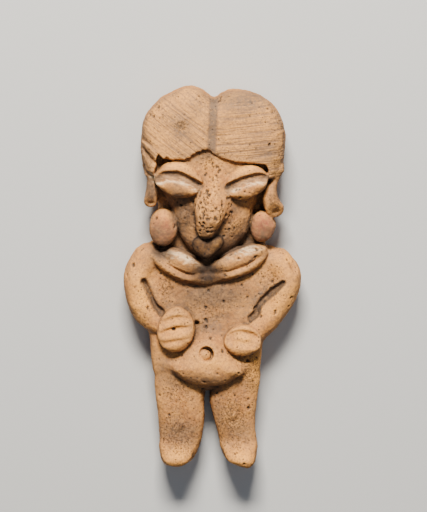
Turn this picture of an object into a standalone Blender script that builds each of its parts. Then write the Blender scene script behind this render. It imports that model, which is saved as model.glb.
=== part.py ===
"""A solid fired-clay figurine of a standing man, 100 mm long, lying on its flat back.

The figure was modelled by hand on a board: a thin slab for the body, coils for the arms, and pellets and
strips pressed on for the hair, eyes, nose, mouth, ear discs, collar, hands and belly. It is one piece of
clay, so it is one solid. X runs across the body, Y from the toes to the crown and Z out of the chest.
Every form is given in hundredths of the figure's height, with the toes at Y = 0 and the board at Z = 0.
"""

import bpy
import numpy as np

# Driving sizes
HEIGHT = 0.100
TRIANGLES = 9200
CLAY_COLOUR = (0.50, 0.27, 0.13, 1.0)
CLAY_ROUGHNESS = 0.85

# Heights of the front surfaces over the board, in hundredths of the figure's height
CHEST = 11.4
FEET = 10.4
HEAD_SLAB = 11.5
NECK_SLAB = 7.4
FACE = 14.6
HAIR = 16.2
COLLAR = 16.0
ARM_FRONT = 12.9
HAND_FRONT = 16.5
BELLY = 15.8
MOUTH = 17.2
BACK_EDGE = 3.4
PRESSED = 6.0
BOARD_BITE = 0.8

# The grid on which the clay's shape is worked out
PITCH = 0.46
MARGIN = 2.0
LOW_CORNER = (-25.0, -MARGIN, -MARGIN)
HIGH_CORNER = (25.5, 102.0, 22.5)

# Outlines of the flat pieces, as points that a smooth closed curve runs through
TORSO = (
    (-15.9, 58.9), (-19.6, 55.2), (-20.4, 49.4), (-19.4, 43.6), (-17.2, 38.4), (-16.3, 33.6), (-15.8, 28.5),
    (-15.1, 24.6), (-12.6, 21.6), (-2.4, 20.0), (8.0, 21.4), (12.2, 24.6), (13.1, 28.8), (13.5, 32.8),
    (15.6, 37.3), (18.4, 43.6), (20.4, 49.4), (19.9, 53.8), (16.4, 57.4), (12.8, 57.2), (8.6, 54.6),
    (3.4, 52.2), (-2.0, 51.4), (-7.4, 52.8), (-12.4, 56.6),
)
LEFT_LEG = (
    (-13.8, 28.5), (-15.0, 23.5), (-14.7, 18.5), (-14.1, 13.1), (-13.7, 8.4), (-13.2, 3.7), (-12.3, 1.0),
    (-10.6, 0.2), (-8.4, 0.2), (-5.9, 1.3), (-4.4, 3.0), (-3.3, 5.4), (-2.6, 8.0), (-2.0, 11.3), (-1.9, 14.3),
    (-2.0, 17.2), (-2.0, 20.5), (-6.0, 28.5),
)
RIGHT_LEG = (
    (0.4, 21.5), (-0.6, 18.4), (-0.1, 15.2), (0.8, 12.0), (1.6, 8.9), (2.2, 6.6), (2.9, 4.2), (3.8, 2.5),
    (5.4, 1.2), (7.7, 0.3), (9.6, 0.0), (10.9, 0.9), (11.5, 3.0), (11.7, 7.2), (11.4, 10.1), (11.5, 14.3),
    (12.1, 19.0), (12.6, 23.7), (11.6, 28.0), (6.0, 28.5),
)
HEAD = (
    (-18.3, 86.2), (-17.6, 91.3), (-15.9, 94.4), (-13.3, 96.9), (-10.6, 98.4), (-8.0, 99.6), (-5.4, 100.0),
    (-2.9, 99.4), (-1.0, 98.0), (0.7, 97.1), (2.6, 98.2), (5.0, 99.0), (8.1, 99.1), (10.7, 98.5),
    (13.3, 97.3), (15.9, 95.2), (17.9, 92.3), (18.9, 88.8), (19.0, 84.6), (18.3, 79.9), (16.6, 75.7),
    (14.9, 71.0), (14.2, 64.6), (13.8, 58.3), (11.0, 50.8), (-1.6, 48.4), (-11.6, 50.8), (-14.8, 58.1),
    (-14.2, 63.9), (-14.1, 69.6), (-15.7, 74.4), (-17.6, 78.8), (-18.3, 82.5),
)
FACE_OUTLINE = (
    (-13.6, 80.1), (-13.2, 74.6), (-11.0, 69.6), (-9.8, 66.0), (-8.6, 62.8), (-7.6, 60.4), (-6.0, 57.9),
    (-3.9, 55.9), (-1.6, 55.0), (1.6, 55.6), (4.4, 57.0), (6.9, 58.9), (8.9, 61.6), (10.3, 65.4), (11.4, 69.4),
    (13.6, 75.0), (14.0, 80.1), (7.6, 86.0), (-1.3, 88.0), (-8.1, 86.0),
)
BELLY_OUTLINE = (
    (-1.2, 35.6), (-4.4, 33.3), (-7.2, 30.5), (-10.0, 27.7), (-10.9, 26.0), (-8.5, 23.9), (-4.5, 22.3),
    (-0.5, 22.0), (3.4, 22.4), (6.1, 23.8), (8.5, 25.6), (6.4, 28.9), (3.6, 32.3), (1.5, 34.8),
)
MOUTH_OUTLINE = (
    (-4.0, 61.2), (-4.8, 59.2), (-4.2, 57.6), (-2.7, 56.3), (-1.4, 55.9), (-0.2, 56.5), (1.1, 57.6),
    (2.3, 59.3), (2.5, 61.0), (1.6, 61.9), (0.4, 61.4), (-1.0, 60.0), (-2.6, 61.2),
)
HAIRLINE = (
    (-24.0, 77.6), (-14.9, 77.6), (-14.2, 80.2), (-13.6, 83.5), (-12.1, 82.2), (-9.4, 81.9), (-6.4, 81.8),
    (-5.3, 82.7), (-3.4, 83.7), (-1.2, 84.2), (0.7, 83.3), (3.4, 82.0), (6.2, 81.3), (8.9, 81.0),
    (11.6, 81.0), (14.2, 81.0), (14.9, 79.0), (15.3, 76.6), (24.0, 76.6),
)

# Coils and strips, as the points that they follow in x, y and z with their radius at each
LEFT_ARM = (
    (-16.6, 55.2, 8.2, 3.9), (-19.2, 50.6, 8.6, 3.8), (-18.9, 45.4, 8.8, 3.6), (-16.5, 40.4, 9.2, 3.5),
    (-12.4, 37.4, 9.6, 2.9),
)
RIGHT_ARM = (
    (17.6, 54.2, 8.2, 3.6), (19.6, 50.2, 8.6, 3.8), (17.9, 44.6, 8.8, 3.6), (14.4, 39.4, 9.2, 3.5),
    (10.8, 35.4, 9.6, 3.2),
)
ARM_DEPTH = 1.15
COLLAR_ROLL = (
    (-15.3, 56.2, 12.8, 0.9), (-13.3, 54.7, 13.0, 1.5), (-11.3, 53.1, 13.2, 1.9), (-8.1, 51.2, 13.2, 2.1),
    (-4.9, 49.9, 13.3, 2.0), (-1.7, 49.6, 13.4, 1.9), (1.0, 50.3, 13.5, 1.6), (3.7, 51.0, 13.6, 1.5),
    (6.6, 51.9, 13.6, 1.5), (9.5, 53.4, 13.5, 1.5), (12.1, 55.2, 13.2, 1.3), (13.8, 57.0, 12.8, 0.8),
)
COLLAR_STRIPS = (
    ((-11.6, 57.2, 12.6, 1.3), (-8.6, 55.3, 13.2, 1.7), (-5.9, 53.6, 13.0, 1.5), (-4.2, 51.9, 12.6, 0.8)),
    (
        (0.8, 52.6, 12.6, 1.1), (4.4, 54.1, 13.1, 1.5), (7.6, 55.7, 13.3, 1.8), (10.5, 57.2, 13.1, 1.8),
        (12.8, 57.8, 12.6, 1.2),
    ),
)
COLLAR_DEPTH = 1.45
LEFT_LOCK = ((-16.0, 79.4, 11.0, 1.9), (-15.6, 76.6, 11.4, 1.2), (-15.5, 74.6, 11.4, 1.4), (-15.7, 72.1, 11.2, 1.6),
             (-16.0, 70.2, 11.0, 1.4))
RIGHT_LOCK = ((16.8, 79.0, 11.0, 2.1), (16.3, 76.2, 11.4, 1.2), (15.6, 74.0, 11.6, 1.35), (15.2, 71.8, 11.8, 1.9),
              (15.8, 69.4, 11.8, 2.3), (16.6, 67.7, 11.6, 2.4))
NOSE = (
    (0.4, 79.6, 12.6, 1.5), (0.3, 75.4, 13.4, 1.9), (0.1, 71.4, 12.9, 3.9), (-0.4, 68.7, 13.7, 4.2),
    (-0.9, 65.2, 16.0, 3.2), (-1.3, 63.5, 17.6, 2.35),
)

# The eyes: centre, radii and turn in degrees of each pellet, with the slit and the trough under the slit
LEFT_EYE = (
    ((-8.0, 76.5, 13.4), (6.4, 4.5, 3.7), -11.0),
    ((-12.7, 78.8, 14.9), (-7.3, 78.0, 16.3), (-2.5, 75.9, 14.9)),
    ((-12.2, 77.3, 15.7), (-7.7, 76.8, 17.4), (-3.4, 75.1, 15.8)),
)
RIGHT_EYE = (
    ((9.1, 76.0, 13.3), (6.2, 4.4, 3.7), 18.0),
    ((3.9, 74.9, 14.8), (8.9, 77.2, 16.2), (13.8, 78.3, 14.8)),
    ((4.7, 74.3, 15.6), (9.3, 76.0, 17.3), (13.6, 77.0, 15.7)),
)

# Lines that a stick or a thumbnail pressed into the wet clay
LEFT_ARMPIT = (
    (-17.6, 49.4, 12.8), (-16.8, 48.0, 12.2), (-15.8, 45.6, 11.9), (-14.7, 43.2, 11.9), (-13.2, 41.5, 12.0),
)
RIGHT_ARMPIT = (
    (18.5, 49.2, 12.8), (16.1, 47.1, 12.2), (13.8, 44.9, 11.9), (12.1, 42.9, 11.9), (11.6, 41.2, 12.0),
)
NOSE_CREASES = (
    ((-4.9, 69.6, 15.4), (-4.5, 65.9, 15.2), (-3.8, 61.9, 15.4)),
    ((2.9, 64.6, 15.6), (1.7, 62.6, 16.4), (0.3, 61.2, 17.4)),
)
FINGER_GAPS = (
    ((-13.0, 39.7, 16.3), (-9.9, 40.7, 16.9), (-7.0, 40.3, 16.7)),
    ((-13.3, 36.0, 16.3), (-9.9, 37.1, 16.8), (-5.9, 36.8, 16.5)),
    ((-13.2, 33.2, 16.1), (-10.2, 33.6, 16.8), (-7.2, 33.0, 16.3)),
    ((5.8, 37.3, 16.2), (9.1, 36.7, 16.8), (11.3, 35.8, 16.4)),
    ((4.1, 34.0, 16.4), (7.8, 33.6, 16.8), (11.5, 33.2, 16.3)),
)


def grid_axes():
    """The grid's x, y and z, shaped so that they combine into a block."""
    axes = [
        np.arange(low, high, PITCH, dtype=np.float32)
        for low, high in zip(LOW_CORNER, HIGH_CORNER)
    ]
    return axes[0][:, None, None], axes[1][None, :, None], axes[2][None, None, :]


X, Y, Z = grid_axes()


def smooth_curve(points, closed, steps=6):
    """Points along a curve that runs smoothly through the given ones."""
    points = np.asarray(points, float)
    if closed:
        before, after, last = np.roll(points, 1, 0), np.roll(points, -1, 0), len(points)
        beyond = np.roll(points, -2, 0)
    else:
        padded = np.vstack([2 * points[0] - points[1], points, 2 * points[-1] - points[-2]])
        last = len(points) - 1
        before, points, after, beyond = (padded[i:i + last] for i in range(4))
    share = (np.arange(steps) / steps)[None, :, None]
    a, b, c, d = (side[:last, None, :] for side in (before, points, after, beyond))
    curve = 0.5 * (2 * b + (c - a) * share + (2 * a - 5 * b + 4 * c - d) * share**2
                   + (3 * b - a - 3 * c + d) * share**3)
    curve = curve.reshape(-1, curve.shape[-1])
    return curve if closed else np.vstack([curve, after[-1]])


def outline_distance(outline):
    """How far each grid column lies outside a closed outline, and negative inside it."""
    curve = smooth_curve(outline, closed=True)
    x, y = X[:, :, 0], Y[:, :, 0]
    nearest = np.full((x.size, y.size), np.inf)
    inside = np.zeros(nearest.shape, bool)
    for (ax, ay), (bx, by) in zip(curve, np.roll(curve, -1, 0)):
        ux, uy = bx - ax, by - ay
        share = np.clip(((x - ax) * ux + (y - ay) * uy) / (ux * ux + uy * uy), 0, 1)
        nearest = np.minimum(nearest, np.hypot(x - ax - share * ux, y - ay - share * uy))
        if ay != by:
            inside ^= ((y < ay) != (y < by)) & (x < ax + (y - ay) / uy * ux)
    return np.where(inside, -nearest, nearest)[:, :, None].astype(np.float32)


def pad(distance, low, high, edge, dome, power=2.0):
    """A flat pad of clay within an outline, whose front curves down over the width edge by the height dome."""
    side = np.maximum(distance + edge, 0) / edge
    back_side = np.maximum(distance + BACK_EDGE, 0) / BACK_EDGE
    front = np.maximum(Z - (high - dome), 0) / dome
    back = np.maximum(low + BACK_EDGE - Z, 0) / BACK_EDGE
    reach = np.where(back > 0, np.sqrt(back_side**2 + back**2), (side**power + front**power)**(1 / power))
    return (reach - 1) * min(edge, dome, BACK_EDGE)


def pellet(centre, radii, turn=0.0):
    """A ball of clay pressed to an ellipsoid, turned in the plane of the board by degrees."""
    angle = np.radians(turn)
    x, y, z = X - centre[0], Y - centre[1], Z - centre[2]
    across, along = x * np.cos(angle) + y * np.sin(angle), y * np.cos(angle) - x * np.sin(angle)
    near = np.sqrt((across / radii[0])**2 + (along / radii[1])**2 + (z / radii[2])**2)
    far = np.sqrt((across / radii[0]**2)**2 + (along / radii[1]**2)**2 + (z / radii[2]**2)**2)
    return near * (near - 1) / np.maximum(far, 1e-6)


def coil(points, depth=1.0):
    """A rolled coil of clay along a smooth line. depth is its thickness from front to back over its width."""
    line = smooth_curve(points, closed=False, steps=4)
    nearest = np.float32(np.inf)
    for start, end in zip(line, line[1:]):
        way = end[:3] - start[:3]
        way[2] /= depth
        x, y, z = X - start[0], Y - start[1], (Z - start[2]) / depth
        share = np.clip((x * way[0] + y * way[1] + z * way[2]) / (way @ way), 0, 1)
        gap = np.sqrt((x - share * way[0])**2 + (y - share * way[1])**2 + (z - share * way[2])**2)
        nearest = np.minimum(nearest, gap - (start[3] + share * (end[3] - start[3])))
    return nearest


def line_tool(points, radius, depth=1.0):
    """The end of a stick of one radius, drawn along a line."""
    return coil([(*point, radius) for point in points], depth)


def disc(centre, radii, low, high, rounding):
    """A flat round button of clay with softened edges."""
    x, y = (X - centre[0]) / radii[0], (Y - centre[1]) / radii[1]
    side = (np.hypot(x, y) - 1) * min(radii) + rounding
    over = np.abs(Z - (low + high) / 2) - (high - low) / 2 + rounding
    corner = np.sqrt(np.maximum(side, 0)**2 + np.maximum(over, 0)**2)
    return corner + np.minimum(np.maximum(side, over), 0) - rounding


def press_on(clay, piece, blend):
    """The clay with a piece added, its joint smeared over the width blend."""
    share = np.clip(0.5 + 0.5 * (piece - clay) / blend, 0, 1)
    return piece + (clay - piece) * share - blend * share * (1 - share)


def press_in(clay, tool, blend):
    """The clay after a tool was pushed into it, with a lip rounded over the width blend."""
    return -press_on(-clay, tool, blend)


def trim(piece, side, blend):
    """What is left of a piece where side is negative."""
    return -press_on(-piece, -side, blend)


def body(clay):
    """The slab of the torso and the two legs, with the toes turned up."""
    outline = outline_distance(TORSO)
    for leg in (LEFT_LEG, RIGHT_LEG):
        outline = np.minimum(outline, outline_distance(leg))
    front = FEET + (CHEST - FEET) * np.clip((Y - 8.0) / 24.0, 0, 1)
    clay = press_on(clay, pad(outline, -BOARD_BITE, front, edge=5.2, dome=3.8), 0.5)
    for x, tilt in ((-9.2, 8.0), (7.9, -6.0)):
        clay = press_on(clay, pellet((x, 3.7, 7.4), (3.2, 3.2, 5.2), tilt), 2.6)
    return clay


def head(clay):
    """The slab behind the head and neck, with the face as a domed pad on it."""
    front = NECK_SLAB + (HEAD_SLAB - NECK_SLAB) * np.clip((Y - 66.0) / 12.0, 0, 1)
    clay = press_on(clay, pad(outline_distance(HEAD), -BOARD_BITE, front, edge=4.4, dome=3.8), 1.6)
    return press_on(clay, pad(outline_distance(FACE_OUTLINE), 3.0, FACE, edge=7.5, dome=4.4), 0.5)


def hair(clay):
    """Two swelling wings of hair with a parting between, cut off over the brow and hanging in a lock each side."""
    hairline = np.asarray(HAIRLINE)
    below = np.interp(X[:, 0, 0], hairline[:, 0], hairline[:, 1]).astype(np.float32)[:, None, None] - Y
    wings = pad(outline_distance(HEAD), 4.0, HAIR, edge=9.0, dome=6.4, power=3.0)
    clay = press_on(clay, trim(wings, below, 0.7), 0.3)
    for line in (LEFT_LOCK, RIGHT_LOCK):
        tip, before = np.asarray(line[-1])[:3], np.asarray(line[-2])[:3]
        way = (tip - before) / np.linalg.norm(tip - before)
        past = (X - tip[0]) * way[0] + (Y - tip[1]) * way[1] + (Z - tip[2]) * way[2] - 0.5
        clay = press_on(clay, trim(coil(line), past, 0.5), 0.6)
    parting = coil(((0.8, 100.0, HAIR - 1.6, 1.3), (0.5, 94.0, HAIR + 1.6, 2.0), (0.2, 84.4, HAIR + 1.8, 2.0)))
    return press_in(clay, parting, 0.5)


def eye(clay, lids, slit, trough):
    """A pellet pressed on beside the nose and slit from corner to corner, like a coffee bean."""
    clay = press_on(clay, pellet(*lids), 0.4)
    clay = press_in(clay, line_tool(slit, 0.45, depth=2.6), 0.4)
    return press_in(clay, line_tool(trough, 1.4, depth=0.8), 0.5)


def face(clay):
    """Nose, mouth and eyes, each of its own pellet."""
    clay = press_on(clay, coil(NOSE), 1.2)
    clay = press_on(clay, pellet((-1.2, 65.0, 13.8), (2.9, 3.6, 4.8)), 0.6)
    clay = press_on(clay, pad(outline_distance(MOUTH_OUTLINE), 6.0, MOUTH, edge=1.9, dome=1.9), 0.3)
    for crease in NOSE_CREASES:
        clay = press_in(clay, line_tool(crease, 0.42, depth=1.6), 0.5)
    clay = eye(clay, *LEFT_EYE)
    return eye(clay, *RIGHT_EYE)


def ornaments(clay):
    """The discs in the ears and the grooved collar round the neck."""
    clay = press_on(clay, disc((-12.6, 63.6), (3.6, 4.9), 6.0, 14.0, 1.5), 0.4)
    clay = press_on(clay, disc((13.4, 63.8), (3.2, 3.9), 6.0, 13.8, 1.5), 0.4)
    for line in (COLLAR_ROLL, *COLLAR_STRIPS):
        clay = press_on(clay, coil(line, COLLAR_DEPTH), 0.5)
        clay = press_on(clay, coil([(x, y, 9.6, radius + 0.5) for x, y, z, radius in line], 2.2), 0.8)
    return clay


def arms(clay):
    """Coils for the arms, bent in to the belly and pressed down along the ribs."""
    for line in (LEFT_ARM, RIGHT_ARM):
        clay = press_on(clay, coil(line, ARM_DEPTH), 0.6)
    for groove in (LEFT_ARMPIT, RIGHT_ARMPIT):
        clay = press_in(clay, line_tool(groove, 0.55, depth=1.8), 0.6)
    return clay


def hands(clay):
    """A flattened pellet for each fist, with gaps scored between the fingers."""
    clay = press_on(clay, disc((-9.3, 37.0), (4.9, 6.0), 8.0, HAND_FRONT, 2.6), 0.3)
    clay = press_on(clay, disc((8.1, 34.2), (4.9, 4.1), 8.0, HAND_FRONT, 2.4), 0.3)
    for gap in FINGER_GAPS:
        clay = press_in(clay, line_tool(gap, 0.75), 0.7)
    return clay


def belly(clay):
    """A swelling pad under the hands, sharp along its lower edge, with the navel punched by a hollow reed."""
    soft = 0.3 + 2.6 * np.clip((Y - 24.0) / 5.0, 0, 1)
    clay = press_on(clay, pad(outline_distance(BELLY_OUTLINE), 4.0, BELLY, edge=6.5, dome=4.8), soft)
    navel = (-1.4, 30.7)
    clay = press_in(clay, disc(navel, (1.9, 1.9), 14.6, 20.0, 0.5), 0.3)
    return press_in(clay, pellet((-4.1, 38.4, 12.0), (0.9, 0.8, 2.6)), 0.4)


def figure():
    """The whole figurine as distances on the grid, built up in the order that a potter would."""
    clay = np.full((X.size, Y.size, Z.size), 1e3, np.float32)
    for step in (body, arms, head, face, hair, ornaments, belly, hands):
        clay = step(clay)
    return clay


def press_down(field):
    """Closes the gaps under the pieces that were pressed on, so that the front has no undercuts."""
    for i in range(Z.size - 2, int(np.searchsorted(Z.ravel(), PRESSED)), -1):
        field[:, :, i] = np.minimum(field[:, :, i], field[:, :, i + 1])
    return field


def smooth(field):
    """Wipes the clay once with a wet finger, which rounds the sharpest creases and ridges."""
    for axis in range(3):
        line = np.moveaxis(field, axis, 0)
        line[1:-1] = line[1:-1] / 2 + (line[:-2] + line[2:]) / 4
    return field


def fill_pinches(field):
    """Fills grid corners where the clay would touch itself along an edge or at a point only."""
    corners = [np.array([i >> 2, (i >> 1) & 1, i & 1]) for i in range(8)]
    squares = [(0, 1, 3, 2), (0, 1, 5, 4), (0, 2, 6, 4)]
    while True:
        inside = field < 0
        block = [
            inside[tuple(slice(step, step + size - 1) for step, size in zip(corner, field.shape))]
            for corner in corners
        ]
        filled = 0
        for a, b, c, d in squares:
            pinched = (block[a] == block[c]) & (block[b] == block[d]) & (block[a] != block[b])
            for cell in np.argwhere(pinched):
                empty = [i for i in (a, b, c, d) if not block[i][tuple(cell)]]
                place = min((tuple(cell + corners[i]) for i in empty), key=lambda at: field[at])
                field[place] = -0.02
                filled += 1
        count = sum(part.astype(np.int8) for part in block)
        for i in range(4):
            same = block[i] == block[7 - i]
            lone = same & (((count == 2) & block[i]) | ((count == 6) & ~block[i]))
            for cell in np.argwhere(lone):
                empty = [j for j in range(8) if not block[j][tuple(cell)]]
                place = min((tuple(cell + corners[j]) for j in empty), key=lambda at: field[at])
                field[place] = -0.02
                filled += 1
        if not filled:
            return field


def skin(field):
    """The surface where the field is zero: a point in each grid cell it crosses, a quad over each crossed edge."""
    inside = field < 0
    strides = np.array([field.shape[1] * field.shape[2], field.shape[2], 1])
    points, cells = [], []
    for axis in range(3):
        near = [slice(0, -1) if side == axis else slice(None) for side in range(3)]
        far = [slice(1, None) if side == axis else slice(None) for side in range(3)]
        crossed = inside[tuple(near)] != inside[tuple(far)]
        start, end = field[tuple(near)][crossed], field[tuple(far)][crossed]
        corner = np.argwhere(crossed)
        point = corner.astype(float)
        point[:, axis] += start / (start - end)
        one, other = strides[(axis + 1) % 3], strides[(axis + 2) % 3]
        first = corner @ strides
        around = np.stack([first - one - other, first - other, first, first - one], 1)
        around[start >= 0] = around[start >= 0][:, ::-1]
        points.append(point)
        cells.append(around)
    points, cells = np.vstack(points), np.vstack(cells)
    _, index = np.unique(cells, return_inverse=True)
    index = index.reshape(-1)
    shares = np.bincount(index)
    places = np.stack([np.bincount(index, np.repeat(points[:, axis], 4)) / shares for axis in range(3)], 1)
    return places * PITCH + np.array(LOW_CORNER), index.reshape(-1, 4)


def clay_material():
    """Fired clay, buff to orange."""
    material = bpy.data.materials.new("fired_clay")
    material.use_nodes = True
    surface = material.node_tree.nodes["Principled BSDF"]
    surface.inputs["Base Color"].default_value = CLAY_COLOUR
    surface.inputs["Roughness"].default_value = CLAY_ROUGHNESS
    surface.inputs["Metallic"].default_value = 0.0
    return material


def board(span):
    """The board that the wet clay lay on, which pressed the back flat. It is a cutter."""
    bpy.ops.mesh.primitive_cube_add(size=1, location=(0, 0, -span / 2))
    cutter = bpy.context.object
    cutter.name = "board"
    cutter.scale = (span, 2 * span, span)
    cutter.hide_render = True
    cutter.display_type = "WIRE"
    return cutter


def figurine():
    """The figurine's mesh, thinned where it is smooth and cut flat where it lay on the board."""
    places, quads = skin(fill_pinches(smooth(press_down(figure()))))
    part = HEIGHT / np.ptp(places[:, 1])
    middle = (places.min(0) + places.max(0)) / 2
    mesh = bpy.data.meshes.new("figurine")
    mesh.from_pydata((places * part).tolist(), [], quads.tolist())
    mesh.materials.append(clay_material())
    made = bpy.data.objects.new("figurine", mesh)
    made.location = (-middle[0] * part, -middle[1] * part, 0)
    bpy.context.scene.collection.objects.link(made)
    thin = made.modifiers.new("thin", "DECIMATE")
    thin.ratio = TRIANGLES / (2 * len(quads))
    flat = made.modifiers.new("flat", "BOOLEAN")
    flat.operation = "DIFFERENCE"
    flat.object = board(2 * HEIGHT)
    return made


for old in list(bpy.data.objects):
    bpy.data.objects.remove(old)
figurine()
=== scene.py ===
"""A small clay figurine of a standing man, lying on its back on a pale table, lit from beyond its head.

The figurine was modelled between the fingers and fired: a slab for the body, coils for the arms, and pellets
and strips pressed on for the hair, eyes, nose, mouth, ear discs, collar, hands and belly. The clay is worked
out here in the same order, as distances on a grid, in hundredths of the figure's height. X runs across the
body, Y from the toes to the crown and Z out of the chest, with the table at Z = 0.
"""

import math

import bpy
import numpy as np
from mathutils import Matrix, Vector


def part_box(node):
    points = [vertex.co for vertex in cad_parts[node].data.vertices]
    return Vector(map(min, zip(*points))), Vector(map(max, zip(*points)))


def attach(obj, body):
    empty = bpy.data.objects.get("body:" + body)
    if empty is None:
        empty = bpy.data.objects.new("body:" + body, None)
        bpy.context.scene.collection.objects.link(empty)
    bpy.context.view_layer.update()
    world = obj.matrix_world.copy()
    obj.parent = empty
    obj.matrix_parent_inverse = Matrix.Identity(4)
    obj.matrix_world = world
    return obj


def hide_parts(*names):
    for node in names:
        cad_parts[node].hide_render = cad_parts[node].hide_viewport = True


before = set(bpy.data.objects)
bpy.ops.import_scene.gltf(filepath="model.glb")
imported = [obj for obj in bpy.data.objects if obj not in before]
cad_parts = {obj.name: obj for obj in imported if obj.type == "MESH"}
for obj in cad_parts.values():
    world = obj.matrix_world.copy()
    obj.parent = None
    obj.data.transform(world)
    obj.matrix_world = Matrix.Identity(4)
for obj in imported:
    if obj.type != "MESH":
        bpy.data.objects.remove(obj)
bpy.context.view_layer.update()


# The slab
# One thick slice of clay, patted flat on a board, is the torso and both legs. The toes were pinched up out of
# the ends of the legs, and every edge was rounded with a thumb.
PITCH = 0.27
grid_low = np.array((-25.2, -2.4, -1.8))
grid_high = np.array((25.8, 102.3, 22.4))
FAR_OFF = 50
ABOVE_ALL = 23
clay = np.full(np.ceil((grid_high - grid_low) / PITCH).astype(int), FAR_OFF, np.float32)
BOARD_BITE = 0.8
BACK_EDGE = 3.4
CHEST = 11.4
FEET = 10.4
TORSO = (
    (-15.9, 58.9), (-19.6, 55.2), (-20.4, 49.4), (-19.4, 43.6), (-17.2, 38.4), (-16.3, 33.6), (-15.8, 28.5),
    (-15.1, 24.6), (-12.6, 21.6), (-2.4, 20), (8, 21.4), (12.2, 24.6), (13.1, 28.8), (13.5, 32.8),
    (15.6, 37.3), (18.4, 43.6), (20.4, 49.4), (19.9, 53.8), (16.4, 57.4), (12.8, 57.2), (8.6, 54.6),
    (3.4, 52.2), (-2, 51.4), (-7.4, 52.8), (-12.4, 56.6),
)
SHINS_AT = 8
BELLY_AT = 32
TOES = 13.6
TOES_AT = 1.6
TOE_RISE = 5.6
TOE_JOINT = 1.4
SMEARED = 0.5
JOINT_REACH = 3.5
LIP_REACH = 1.5
LEFT_TOES = (
    (-13.1, 6.2), (-13.3, 3.6), (-12.4, 1.2), (-10.6, 0.3), (-8.4, 0.3), (-6.3, 1.3), (-5.1, 3.2),
    (-5.4, 6), (-9.2, 9.4),
)
RIGHT_TOES = (
    (3.2, 6.2), (3.4, 3.4), (4.4, 1.6), (6.2, 0.7), (8, 0.2), (9.8, 0.1), (11.1, 1.2), (11.6, 3.4),
    (11.3, 6.2), (7.4, 9.4),
)
LEFT_LEG = (
    (-13.8, 28.5), (-15, 23.5), (-14.7, 18.5), (-14.1, 13.1), (-13.7, 8.4), (-13.2, 3.7), (-12.3, 1),
    (-10.6, 0.2), (-8.4, 0.2), (-5.9, 1.3), (-4.4, 3), (-3.3, 5.4), (-2.6, 8), (-2, 11.3), (-1.9, 14.3),
    (-2, 17.2), (-2, 20.5), (-6, 28.5),
)
RIGHT_LEG = (
    (0.4, 21.5), (-0.6, 18.4), (-0.1, 15.2), (0.8, 12), (1.6, 8.9), (2.2, 6.6), (2.9, 4.2), (3.8, 2.5),
    (5.4, 1.2), (7.7, 0.3), (9.6, 0), (10.9, 0.9), (11.5, 3), (11.7, 7.2), (11.4, 10.1), (11.5, 14.3),
    (12.1, 19), (12.6, 23.7), (11.6, 28), (6, 28.5),
)


def smooth_curve(points, closed, steps=6):
    """Points along a curve that runs smoothly through the given ones."""
    points = np.asarray(points, float)
    if closed:
        ends = [np.roll(points, shift, 0) for shift in (1, 0, -1, -2)]
    else:
        padded = np.vstack([2 * points[0] - points[1], points, 2 * points[-1] - points[-2]])
        ends = [padded[i:i + len(points) - 1] for i in range(4)]
    share = (np.arange(steps) / steps)[None, :, None]
    a, b, c, d = (end[:, None, :] for end in ends)
    curve = 0.5 * (2 * b + (c - a) * share + (2 * a - 5 * b + 4 * c - d) * share**2
                   + (3 * b - a - 3 * c + d) * share**3)
    curve = curve.reshape(-1, points.shape[1])
    return curve if closed else np.vstack([curve, points[-1]])


def outline_distance(outline, x, y):
    """How far each place lies outside a closed outline, and negative inside it."""
    curve = smooth_curve(outline, closed=True)
    nearest = np.full(np.broadcast(x, y).shape, np.inf, np.float32)
    inside = np.zeros(nearest.shape, bool)
    for (ax, ay), (bx, by) in zip(curve, np.roll(curve, -1, 0)):
        ux, uy = bx - ax, by - ay
        share = np.clip(((x - ax) * ux + (y - ay) * uy) / (ux * ux + uy * uy), 0, 1)
        nearest = np.minimum(nearest, np.hypot(x - ax - share * ux, y - ay - share * uy))
        if ay != by:
            inside ^= ((y < ay) != (y < by)) & (x < ax + (y - ay) / uy * ux)
    return np.where(inside, -nearest, nearest)


def pad(outlines, low, high, edge, dome, power=2):
    """A flat pad of clay within outlines, whose front curves down over the width edge by the height dome."""
    corners = np.vstack(outlines)

    def distance(x, y, z):
        flat = outline_distance(outlines[0], x, y)
        for outline in outlines[1:]:
            flat = np.minimum(flat, outline_distance(outline, x, y))
        top = high(x, y) if callable(high) else high
        side = np.maximum(flat + edge, 0) / edge
        back_side = np.maximum(flat + BACK_EDGE, 0) / BACK_EDGE
        front = np.maximum(z - (top - dome), 0) / dome
        back = np.maximum(low + BACK_EDGE - z, 0) / BACK_EDGE
        reach = np.where(back > 0, np.sqrt(back_side**2 + back**2), (side**power + front**power)**(1 / power))
        return (reach - 1) * min(edge, dome, BACK_EDGE)

    return distance, (*corners.min(0) - 1, low - 1), (*corners.max(0) + 1, ABOVE_ALL)


def pellet(centre, radii, turn=0):
    """A ball of clay pressed to an ellipsoid, turned in the plane of the table by degrees."""
    wide = max(radii[:2])

    def distance(x, y, z):
        angle = math.radians(turn)
        x, y, z = x - centre[0], y - centre[1], z - centre[2]
        across, along = x * math.cos(angle) + y * math.sin(angle), y * math.cos(angle) - x * math.sin(angle)
        parts = [way / radius for way, radius in zip((across, along, z), radii)]
        near = np.maximum(np.sqrt(sum(part**2 for part in parts)), 1e-3)
        steep = np.sqrt(sum((part / radius)**2 for part, radius in zip(parts, radii)))
        return (near - 1) * near / np.maximum(steep, 1e-6)

    return distance, np.subtract(centre, (wide, wide, radii[2])), np.add(centre, (wide, wide, radii[2]))


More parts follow.
